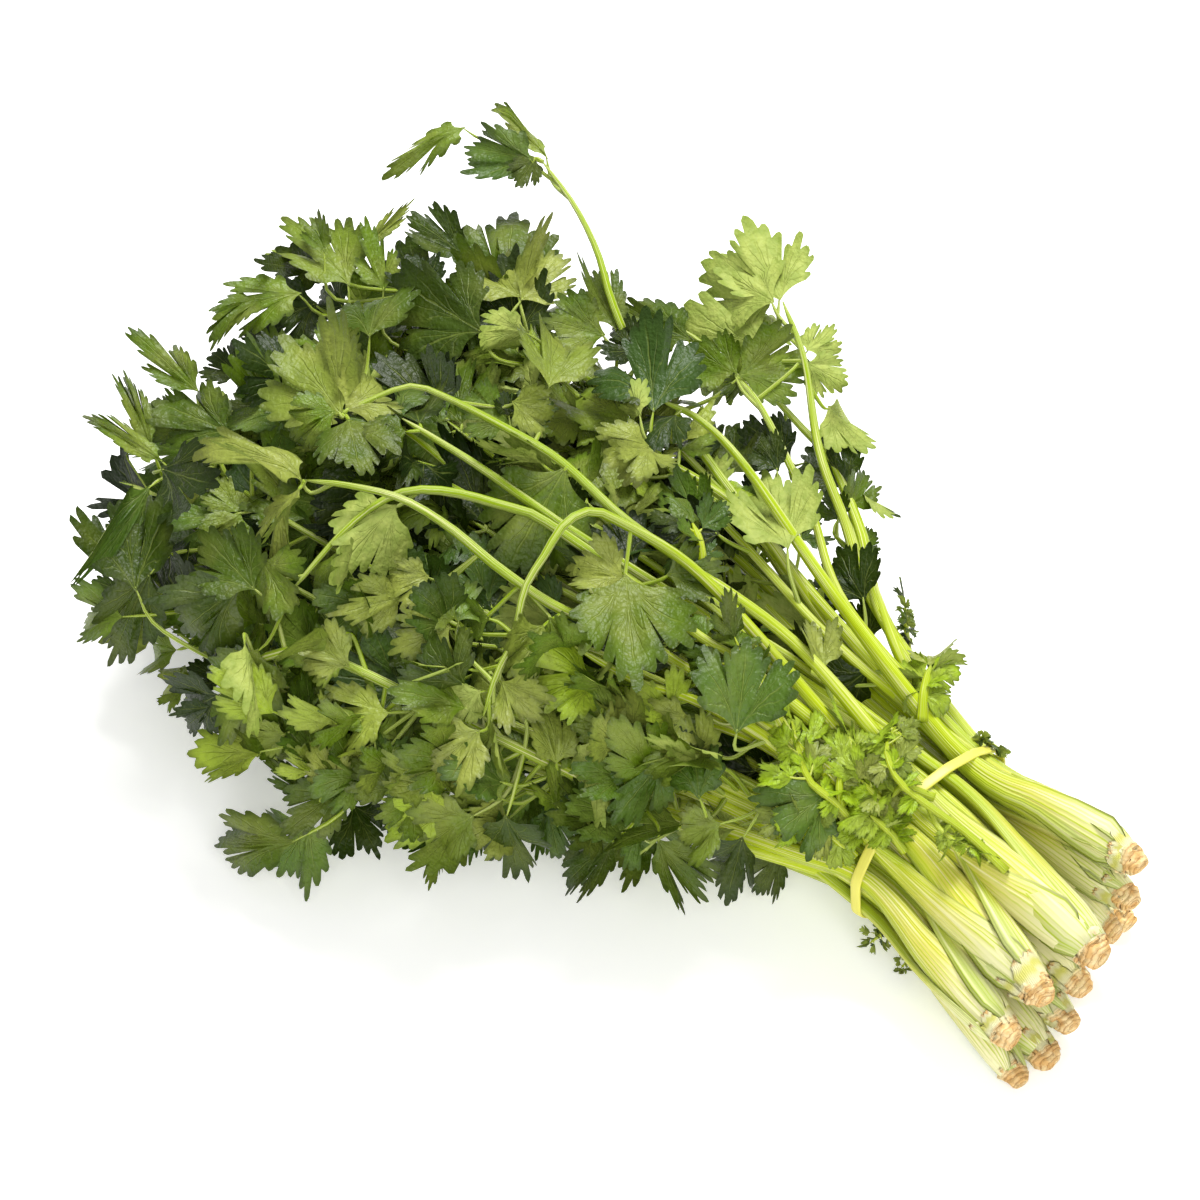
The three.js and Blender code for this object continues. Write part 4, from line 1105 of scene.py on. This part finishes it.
def grow_sprig(rng, row):
    """A late shoot: a thin stem with small, crowded leaves along its outer part."""
    _, size, tone, points = row
    path = smooth_path(points, 16)
    face = unit(section_outward(path[-1]) + 0.3 * rng.normal(0, 1, 3))
    leaflets, twigs = grow_leaf(rng, path, face, size, 3, tone, SHOOT_LEAF_RUN, 1.2)
    for share in (0.35, 0.5, 0.62, 0.74, 0.86):
        at = path[int(share * len(path))]
        way = unit(np.cross(path[-1] - path[0], face) * rng.choice([-1, 1]) + 0.5 * face)
        leaflets.append(leaflet(rng, at, way, face, size * rng.uniform(0.6, 0.9), tone, 1.2))
    for leaf in leaflets:
        leaf["cut"] = 1.8
    return leaflets, twigs + [twig_skin(path, 0.5 + 0.1 * size, tone, SHOOT_RUN)]


# Leaflets are shortened by up to 60% where their tips are past the cross-section's ellipse, or past
# the leafy end at this x, in mm.
LEAFY_END = -172.0
MOST_SHORTENED = 0.6


def kept_length(leaf):
    """The share of its length that a leaflet keeps: those that would stand far out of the bunch's
    cross-section, or past its leafy end, are shorter."""
    tip = leaf["base"] + leaf["length"] * leaf["grow"]
    centre, half = section_at(tip[0])
    far = max(np.hypot(*((tip[1:] - centre) / half)), 1.0 + (LEAFY_END - tip[0]) / 40)
    return 1 - np.clip(4.0 * (far - 1.02), 0, MOST_SHORTENED)


# Below the first height, in mm, skins are pressed together, so that they stay above the second one.
PRESSED, LIFTED = 2.0, 0.4


def press_to_floor(points):
    """Leaves that would pass the surface lie along it: the heights below PRESSED close up towards
    LIFTED, more and more slowly."""
    low = points[:, 2] < PRESSED
    room = PRESSED - LIFTED
    points[low, 2] = LIFTED + room * np.exp((points[low, 2] - PRESSED) / room)


# A stalk's leaves face up where its tip is lower than this, in mm, and leaflets longer than this, in
# mm, get the rounder teeth. Edges of a leaf stay crisp past this angle, in radians.
LOW_TIP = 14
LONG_LEAFLET = 23
LEAF_CREASE = 1.2
# A stalk's leaves have one of these tones, from 0 for old and dark to 1 for just opened, and the
# chance of each.
TONES = [0.12, 0.32, 0.55, 0.75]
TONE_CHANCES = [0.3, 0.32, 0.23, 0.15]


def stalk_leaves(rng, stalk, length):
    """The leaflets and side stalks of a stalk that ends in a leaf."""
    tip = stalk["path"][-1]
    face = unit(0.7 * section_outward(tip) + np.array([0, 0, 0.7]) + 0.4 * rng.normal(0, 1, 3))
    if tip[2] < LOW_TIP:
        face = np.array([0, 0, 1.0])
    tone = rng.choice(TONES, p=TONE_CHANCES)
    run_end = run_along(stalk["path"])[-1]
    return grow_leaf(rng, stalk["path"], face, length, stalk["pairs"], tone, run_end)


def plant_skins(p, stalks, look):
    """The skins of a plant's stalks and of its leaves. The leaflets that stand out draw from a
    generator of their own, and so stay as they are when the others change."""
    rng, own = np.random.default_rng(100 + p), np.random.default_rng(200 + p)
    skins, leaflets, leading, young = [], [], [], []
    for stalk in stalks:
        if stalk["plant"] != p:
            continue
        skins.append(stalk_skin(stalk))
        if stalk["pairs"] is not None:
            made, twigs = stalk_leaves(rng, stalk, look.length)
            leaflets += made
            skins += twigs
    for leaf in leaflets:
        leaf["length"] *= kept_length(leaf)
    for row in of_plant(p, LEADING_LEAVES):
        blade, twig = lead_leaf(own, row, stalks)
        leading.append(blade)
        skins.append(twig)
    inside = [hidden_row(rng, p) for _ in range(look.hidden)]
    outside = [cover_row(rng, p) for _ in range(look.cover)]
    for row in inside + outside:
        blade, twig = lead_leaf(rng, row, stalks)
        leaflets.append(blade)
        skins.append(twig)
    for row in of_plant(p, SPRIGS):
        made, twigs = grow_sprig(rng, row)
        young += made
        skins += twigs
    large = [leaf for leaf in leaflets if leaf["length"] > LONG_LEAFLET]
    small = [leaf for leaf in leaflets if leaf["length"] <= LONG_LEAFLET]
    makes = ((rng, large, ROUND), (rng, small, PLAIN), (rng, young, ROUND), (own, leading, FINE))
    leaf_skins = [blades(draw, leaves, *make) for draw, leaves, make in makes if leaves]
    for skin in skins + leaf_skins:
        press_to_floor(skin["points"])
    return skins, leaf_skins


# ---- Crowns and band ------------------------------------------------------------------------------

# A crown's shape from the cut face of its root up: mm along its axis, and the share of its radius.
CROWN_PROFILE = np.array(
    [
        [1.0, 0.05], [0.6, 0.15], [0.0, 0.22], [0.7, 0.28], [0.2, 0.36], [0.6, 0.44], [1.4, 0.52],
        [2.6, 0.57], [4.5, 0.61], [6.5, 0.66], [8.5, 0.7], [12.0, 0.72], [17.0, 0.68],
        [23.0, 0.56], [30.0, 0.4], [36.0, 0.2],
    ]
)  # fmt: skip
CROWN_SCALES = 6
# The colour of each ring of a scale, as mm from the root's cut face: woody at the foot and at the torn
# end, and pale between.
SCALE_RUN = np.array([7.5, 9.5, 13.0, 18.0, 24.0, 24.0, 17.0, 11.0, 8.5])


def crown_scales(rng, plant):
    """The torn feet of old stalks: thin flaps that start on the root and hug the crown. A flap spans
    an angle about the axis that narrows to its ragged end, where it stands off a little. Each of its
    rings goes along the outer side and back along the inner one, and the two meet at the edges."""
    root, axis, side, up = crown_frame(plant)
    across = np.linspace(-1, 1, 9)
    there_and_back = np.concatenate([across, across[-2:0:-1]])
    outside = np.concatenate([np.ones(9), -np.ones(7)])
    share = np.linspace(0, 1, 9)[:, None]
    skins = []
    for k in range(CROWN_SCALES):
        middle = TURN * (k + rng.uniform(-0.35, 0.35)) / CROWN_SCALES
        low, long, half = rng.uniform(2.5, 6.0), rng.uniform(5.0, 12.0), rng.uniform(0.4, 0.8)
        ragged = 1 + 0.14 * rng.normal(0, 1, (9, 1)) * share
        around = middle + half * np.sqrt(1 - 0.93 * share**2) * ragged * there_and_back
        around = around + rng.uniform(-0.25, 0.25) * share
        height = low + long * share + 0.7 * np.sin(7 * there_and_back + k) * share
        shape = np.interp(height, CROWN_PROFILE[:, 0], CROWN_PROFILE[:, 1])
        stand = rng.uniform(0.2, 0.6) + rng.uniform(0.4, 1.6) * share**2
        radius = plant["radius"] * shape + stand + 0.3 * outside * (1 - there_and_back**2)
        centre = root + height[..., None] * axis
        rings = round_path(centre, radius * np.cos(around), side, radius * np.sin(around), up)
        skins.append(loft(rings[:, ::-1], rng.uniform(0, 1), SCALE_RUN))
    return skins


def crown_skin(rng, plant):
    """A crown: a profile turned about the plant's axis. The cut face of the root is ringed, the short
    root is knobbly with a few nubs where side roots were trimmed, and the neck swells above it."""
    root, axis, side, up = crown_frame(plant)
    sides, rows = 48, 60
    length = run_along(CROWN_PROFILE * [1.0, plant["radius"]])
    run = length[-1] * np.linspace(0, 1, rows) ** 1.15
    height = np.interp(run, length, CROWN_PROFILE[:, 0])[:, None]
    share = np.interp(run, length, CROWN_PROFILE[:, 1])[:, None]
    turn = np.linspace(0, TURN, sides, endpoint=False)
    woody = np.clip((11.0 - height) / 4.0, 0, 1) * np.clip(share / 0.5, 0, 1)
    phases = rng.uniform(0, TURN, 4)
    knobs = 0.09 * np.cos(2 * turn + phases[0] + 0.3 * height)
    knobs = knobs + 0.06 * np.cos(5 * turn + phases[1] - 0.8 * height)
    fine = 0.035 * np.cos(11 * turn + phases[2] + 1.7 * height)
    knobs = knobs + fine * np.cos(2 * height + phases[0])
    wavy = 1.5 * height + phases[2] + 0.8 * np.cos(turn + phases[3])
    rings = 0.06 * (np.abs(np.sin(wavy)) - 0.6)
    nubs = 0
    for _ in range(5):
        at_turn, at_height = rng.uniform(0, TURN), rng.uniform(2.0, 8.0)
        near = 2.6 * (1 - np.cos(turn - at_turn)) * 6 + ((height - at_height) / 1.6) ** 2
        nubs = nubs + rng.uniform(0.14, 0.34) * np.exp(-near)
    lobes = 0.04 * np.cos(5 * turn + phases[3]) * (1 - woody)
    radius = plant["radius"] * share * (1 + woody * (knobs + rings + nubs) + lobes)
    tilt = rng.uniform(-0.22, 0.22, 2)
    lean = np.clip(1 - height / 5, 0, 1) * share * plant["radius"]
    slant = lean * (tilt[0] * np.cos(turn) + tilt[1] * np.sin(turn))
    centre = root + (height + slant)[..., None] * axis
    skin = round_path(centre, radius * np.cos(turn), side, radius * np.sin(turn), up)
    return loft(skin[:, ::-1], rng.uniform(0, 1), run)


# How finely the band is made: steps round the loop, and points round its cross-section.
BAND_STEPS, BAND_SIDES = 160, 16
# The band swings to and fro along the bunch by this many mm, and leans by this slope across it. It
# stands this many mm off the stalks, and its marks are this many mm a step.
BAND_SWAY, BAND_LEAN = 1.2, 0.09
BAND_GAP = 0.15
BAND_STEP = 1.3


def band_path(stalks):
    """The tight loop round the stalks: in each direction it touches the stalk that stands out most."""
    spots, widths = [], []
    for stalk in stalks:
        path = stalk["path"][::-1]
        spots.append(sampled(BAND_MIDDLE[0], path[:, 0], path[:, 1:]))
        widths.append(2.2 * stalk["size"])
    spots, widths = np.array(spots), np.array(widths)
    turn = np.linspace(0, TURN, 720, endpoint=False)
    out = np.stack([np.cos(turn), np.sin(turn)], -1)
    stand = spots @ out.T + widths[:, None]
    touch = stand.argmax(axis=0)
    loop = spots[touch] + widths[touch][:, None] * out
    loop = np.vstack([loop, loop[:1]])
    run = run_along(loop)
    loop = sampled(np.linspace(0, run[-1], BAND_STEPS, endpoint=False), run, loop)
    for _ in range(3):
        loop = 0.5 * loop + 0.25 * (np.roll(loop, 1, axis=0) + np.roll(loop, -1, axis=0))
    return loop


def band_skin(stalks, width, thickness):
    """The band: a rounded strip carried round the tight loop, which leans a little along the bunch."""

    def rounded(value):
        return np.sign(value) * np.abs(value) ** 0.6

    loop = band_path(stalks)
    ahead = unit(np.roll(loop, -1, axis=0) - np.roll(loop, 1, axis=0))
    out = np.stack([ahead[:, 1], -ahead[:, 0]], -1)
    turn = np.linspace(0, TURN, BAND_SIDES, endpoint=False)
    across = 0.5 * width * rounded(np.cos(turn))
    proud = 0.5 * thickness * (1 + rounded(np.sin(turn)))
    sway = BAND_SWAY * np.sin(2 * TURN * np.arange(BAND_STEPS) / BAND_STEPS)
    lean = BAND_LEAN * (loop[:, 0] - BAND_MIDDLE[1])
    x = BAND_MIDDLE[0] + (sway + lean)[:, None] + across[None, :]
    yz = loop[:, None] + out[:, None] * (BAND_GAP + proud)[None, :, None]
    rings = np.concatenate([x[..., None], yz], axis=-1)
    quads, quad_uv = tube_faces(BAND_STEPS, BAND_SIDES, np.arange(BAND_STEPS + 1) * BAND_STEP)
    return {
        "points": rings.reshape(-1, 3),
        "quads": quads,
        "quad_uv": quad_uv,
        "tris": np.zeros((0, 3), int),
        "tri_uv": np.zeros((0, 3, 2)),
        "tone": np.zeros(BAND_STEPS * BAND_SIDES),
        "under": np.zeros(len(quads)),
    }


# ---- Settings -------------------------------------------------------------------------------------


def colour_setting(name, description, code):
    """A colour among the settings, with its default as an sRGB hex colour."""
    return FloatVectorProperty(
        name=name,
        description=description,
        subtype="COLOR",
        size=3,
        min=0,
        max=1,
        default=linear(code),
    )


class LeafSettings(PropertyGroup):
    hidden: IntProperty(
        name="Hidden leaflets",
        description="Leaflets deep in the bunch, for each plant",
        default=14,
        min=0,
    )
    cover: IntProperty(
        name="Covering leaflets",
        description="Leaflets over the stalks in front, for each plant",
        default=6,
        min=0,
    )
    length: FloatProperty(
        name="Leaflet length",
        description="Length of a leaflet, in mm",
        default=24.0,
        min=10,
        max=50,
    )
    # Dark is also the painted shade of the leaflets deep in the bunch, which have the lowest tones.
    dark: colour_setting("Dark", "Upper face of an old leaf", "#162602")
    cool: colour_setting("Cool", "Blue-green cast of some leaves", "#4e7028")
    middle: colour_setting("Middle", "Upper face of most leaves", "#647e14")
    young: colour_setting("Young", "Upper face of a young leaf", "#a8ad54")
    fresh: colour_setting("Fresh", "Upper face of a leaf that has just opened", "#9cba1c")
    vein: colour_setting("Vein", "Veins of the leaf", "#abba58")
    under: colour_setting("Underside", "Lower face of a leaf", "#aeba5c")
    under_shade: colour_setting("Underside shade", "Darker patches of the lower face", "#95a64a")
    through: colour_setting("Through", "Light that comes through a leaf", "#a8c806")


class StalkSettings(PropertyGroup):
    foot: colour_setting("Foot", "Stalks and crown beside the root", "#e0dbac")
    pale: colour_setting("Pale", "Stalks between the crown and the band", "#cec65a")
    lime: colour_setting("Lime", "Stalks past the band", "#aebe10")
    # Green also paints the shade on the stalks' flanks near the crown.
    green: colour_setting("Green", "Upper stalks", "#88a20a")
    stripe: colour_setting("Stripe", "Pale stripes between the ribs", "#ebe4b4")
    root: colour_setting("Root", "Dry skin of the root", "#d4aa6c")
    root_pale: colour_setting("Root flakes", "Pale flakes of the root", "#e8d09c")
    root_dark: colour_setting("Root cracks", "Cracks and rings of the root", "#8e5f30")


class BandSettings(PropertyGroup):
    width: FloatProperty(
        name="Width",
        description="Width of the rubber band, in mm",
        default=3.6,
        min=1,
        max=12,
    )
    thickness: FloatProperty(
        name="Thickness",
        description="Thickness of the stretched rubber, in mm",
        default=1.1,
        min=0.3,
        max=4,
    )
    colour: colour_setting("Colour", "Colour of the rubber", "#dfdc5e")
    shade: colour_setting("Shade", "Darker streaks of the rubber", "#d4ca58")


class StageSettings(PropertyGroup):
    floor: colour_setting("Floor", "Colour of the floor", "#f7f7f5")
    glow: FloatProperty(
        name="Floor glow",
        description="Light from under the white floor",
        default=0.29,
        min=0,
    )
    key: FloatProperty(
        name="Key light",
        description="Power of the main light, in watts",
        default=31.5,
        min=0,
    )
    sky: FloatProperty(
        name="Surrounding light",
        description="Strength of the even light",
        default=0.42,
        min=0,
    )
    lens: FloatProperty(
        name="Lens",
        description="Focal length of the camera",
        default=107.8,
        min=20,
        max=300,
        unit="CAMERA",
    )


# ---- Operators ------------------------------------------------------------------------------------


def node_names(kind, numbers):
    """The CAD nodes of a kind with these numbers, those that the frame has."""
    made = [f"{kind}_{number:02d}" for number in numbers]
    return [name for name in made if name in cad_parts]


class CORIANDER_OT_crowns(Operator):
    """Make the crowns, with their trimmed roots"""

    bl_idname = "coriander.crowns"
    bl_label = "Crowns"

    def execute(self, context):
        material = crown_material(context.scene.coriander_stalk)
        rng = np.random.default_rng(3)
        for p, plant in enumerate(PLANTS):
            skins = [crown_skin(rng, plant)] + crown_scales(rng, plant)
            for skin in skins:
                press_to_floor(skin["points"])
            add_piece(f"plant_{p + 1:02d}_crown", skins, material, [f"crown_{p + 1:02d}"])
        return {"FINISHED"}


class CORIANDER_OT_foliage(Operator):
    """Make the stalks and leaves, plant by plant"""

    bl_idname = "coriander.foliage"
    bl_label = "Stalks and leaves"

    def execute(self, context):
        look = context.scene.coriander_leaf
        stalk_finish = stalk_material(context.scene.coriander_stalk)
        leaf_finish = leaf_material(look)
        stalks = plan_bunch()
        for p, plant in enumerate(PLANTS):
            skins, leaf_skins = plant_skins(p, stalks, look)
            name = f"plant_{p + 1:02d}"
            nodes = {kind: node_names(kind, plant["nodes"]) for kind in ("stalk", "leaf")}
            add_piece(f"{name}_stalks", skins, stalk_finish, nodes["stalk"])
            add_piece(f"{name}_leaves", leaf_skins, leaf_finish, nodes["leaf"], LEAF_CREASE)
        return {"FINISHED"}


class CORIANDER_OT_band(Operator):
    """Make the rubber band round the stalks"""

    bl_idname = "coriander.band"
    bl_label = "Rubber band"

    def execute(self, context):
        look = context.scene.coriander_band
        skin = band_skin(plan_bunch(), look.width, look.thickness)
        add_piece("elastic_band", [skin], band_material(look), ["rubber_band"])
        return {"FINISHED"}


# Where the camera stands and what it points at, in mm in the bunch's own frame.
CAMERA_PLACE = (460.3, -599.1, 912.3)
CAMERA_AIM = (-13.45, 7.31, 57.65)


def aim(thing, target):
    """Turns a camera or light, which looks along its own -Z, towards a point."""
    direction = Vector(target) - thing.location
    thing.rotation_euler = direction.to_track_quat("-Z", "Y").to_euler()


class CORIANDER_OT_stage(Operator):
    """Make the floor, the lights and the camera"""

    bl_idname = "coriander.stage"
    bl_label = "Stage"

    def execute(self, context):
        look = context.scene.coriander_stage
        scene = context.scene
        scene.view_settings.view_transform = "Standard"
        target = in_frame(CAMERA_AIM)

        camera = bpy.data.objects.new("camera", bpy.data.cameras.new("camera"))
        scene.collection.objects.link(camera)
        camera.location = in_frame(CAMERA_PLACE)
        camera.data.lens = look.lens
        camera.data.clip_start = 0.05
        aim(camera, target)
        scene.camera = camera

        edge = 4.0
        square = [(-edge, -edge, 0), (edge, -edge, 0), (edge, edge, 0), (-edge, edge, 0)]
        mesh = bpy.data.meshes.new("floor")
        mesh.from_pydata(square, [], [(0, 1, 2, 3)])
        floor = bpy.data.objects.new("floor", mesh)
        scene.collection.objects.link(floor)
        paper, add = new_material("white acrylic, lit from below")
        lit = {
            "Specular IOR Level": 0.1,
            "Emission Color": (0.98, 0.98, 1.0),
            "Emission Strength": look.glow,
        }
        add("output", add("principled", tuple(look.floor), 0.9, inputs=lit))
        mesh.materials.append(paper)

        # Each light: its name, its place and size in metres, and its power.
        for name, place, size, power in (
            ("key light", (-0.25, 0.7, 1.35), 0.6, look.key),
            ("fill light", (0.9, -0.9, 1.1), 1.2, look.key * 0.6),
        ):
            light = bpy.data.objects.new(name, bpy.data.lights.new(name, "AREA"))
            scene.collection.objects.link(light)
            light.data.size = size
            light.data.energy = power
            light.location = place
            aim(light, target)

        world = bpy.data.worlds.new("white surroundings")
        world.use_nodes = True
        background = world.node_tree.nodes["Background"]
        background.inputs["Color"].default_value = (1, 1, 1, 1)
        background.inputs["Strength"].default_value = look.sky
        scene.world = world
        return {"FINISHED"}


class CORIANDER_PT_panel(Panel):
    """Lists the pieces of the bunch, with their settings"""

    bl_label = "Coriander bunch"
    bl_idname = "CORIANDER_PT_panel"
    bl_space_type = "VIEW_3D"
    bl_region_type = "UI"
    bl_category = "Coriander"

    def draw(self, context):
        for kind, name in STEPS:
            self.layout.operator(kind.bl_idname)
            group = getattr(context.scene, name)
            for key in group.__annotations__:
                self.layout.prop(group, key)


SETTINGS = {
    "coriander_leaf": LeafSettings,
    "coriander_stalk": StalkSettings,
    "coriander_band": BandSettings,
    "coriander_stage": StageSettings,
}
STEPS = (
    (CORIANDER_OT_stage, "coriander_stage"),
    (CORIANDER_OT_crowns, "coriander_stalk"),
    (CORIANDER_OT_foliage, "coriander_leaf"),
    (CORIANDER_OT_band, "coriander_band"),
)


def register():
    for kind in (*SETTINGS.values(), *(kind for kind, _ in STEPS), CORIANDER_PT_panel):
        bpy.utils.register_class(kind)
    for name, kind in SETTINGS.items():
        setattr(bpy.types.Scene, name, PointerProperty(type=kind))


def unregister():
    for name in SETTINGS:
        delattr(bpy.types.Scene, name)
    for kind in (CORIANDER_PT_panel, *(kind for kind, _ in STEPS), *SETTINGS.values()):
        bpy.utils.unregister_class(kind)


def corners(box):
    """A box as plain lists of numbers."""
    return [[float(value) for value in corner] for corner in box]


def main():
    register()
    for kind, _ in STEPS:
        group, name = kind.bl_idname.split(".")
        getattr(getattr(bpy.ops, group), name)()
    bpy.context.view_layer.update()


if __name__ == "__main__":
    main()
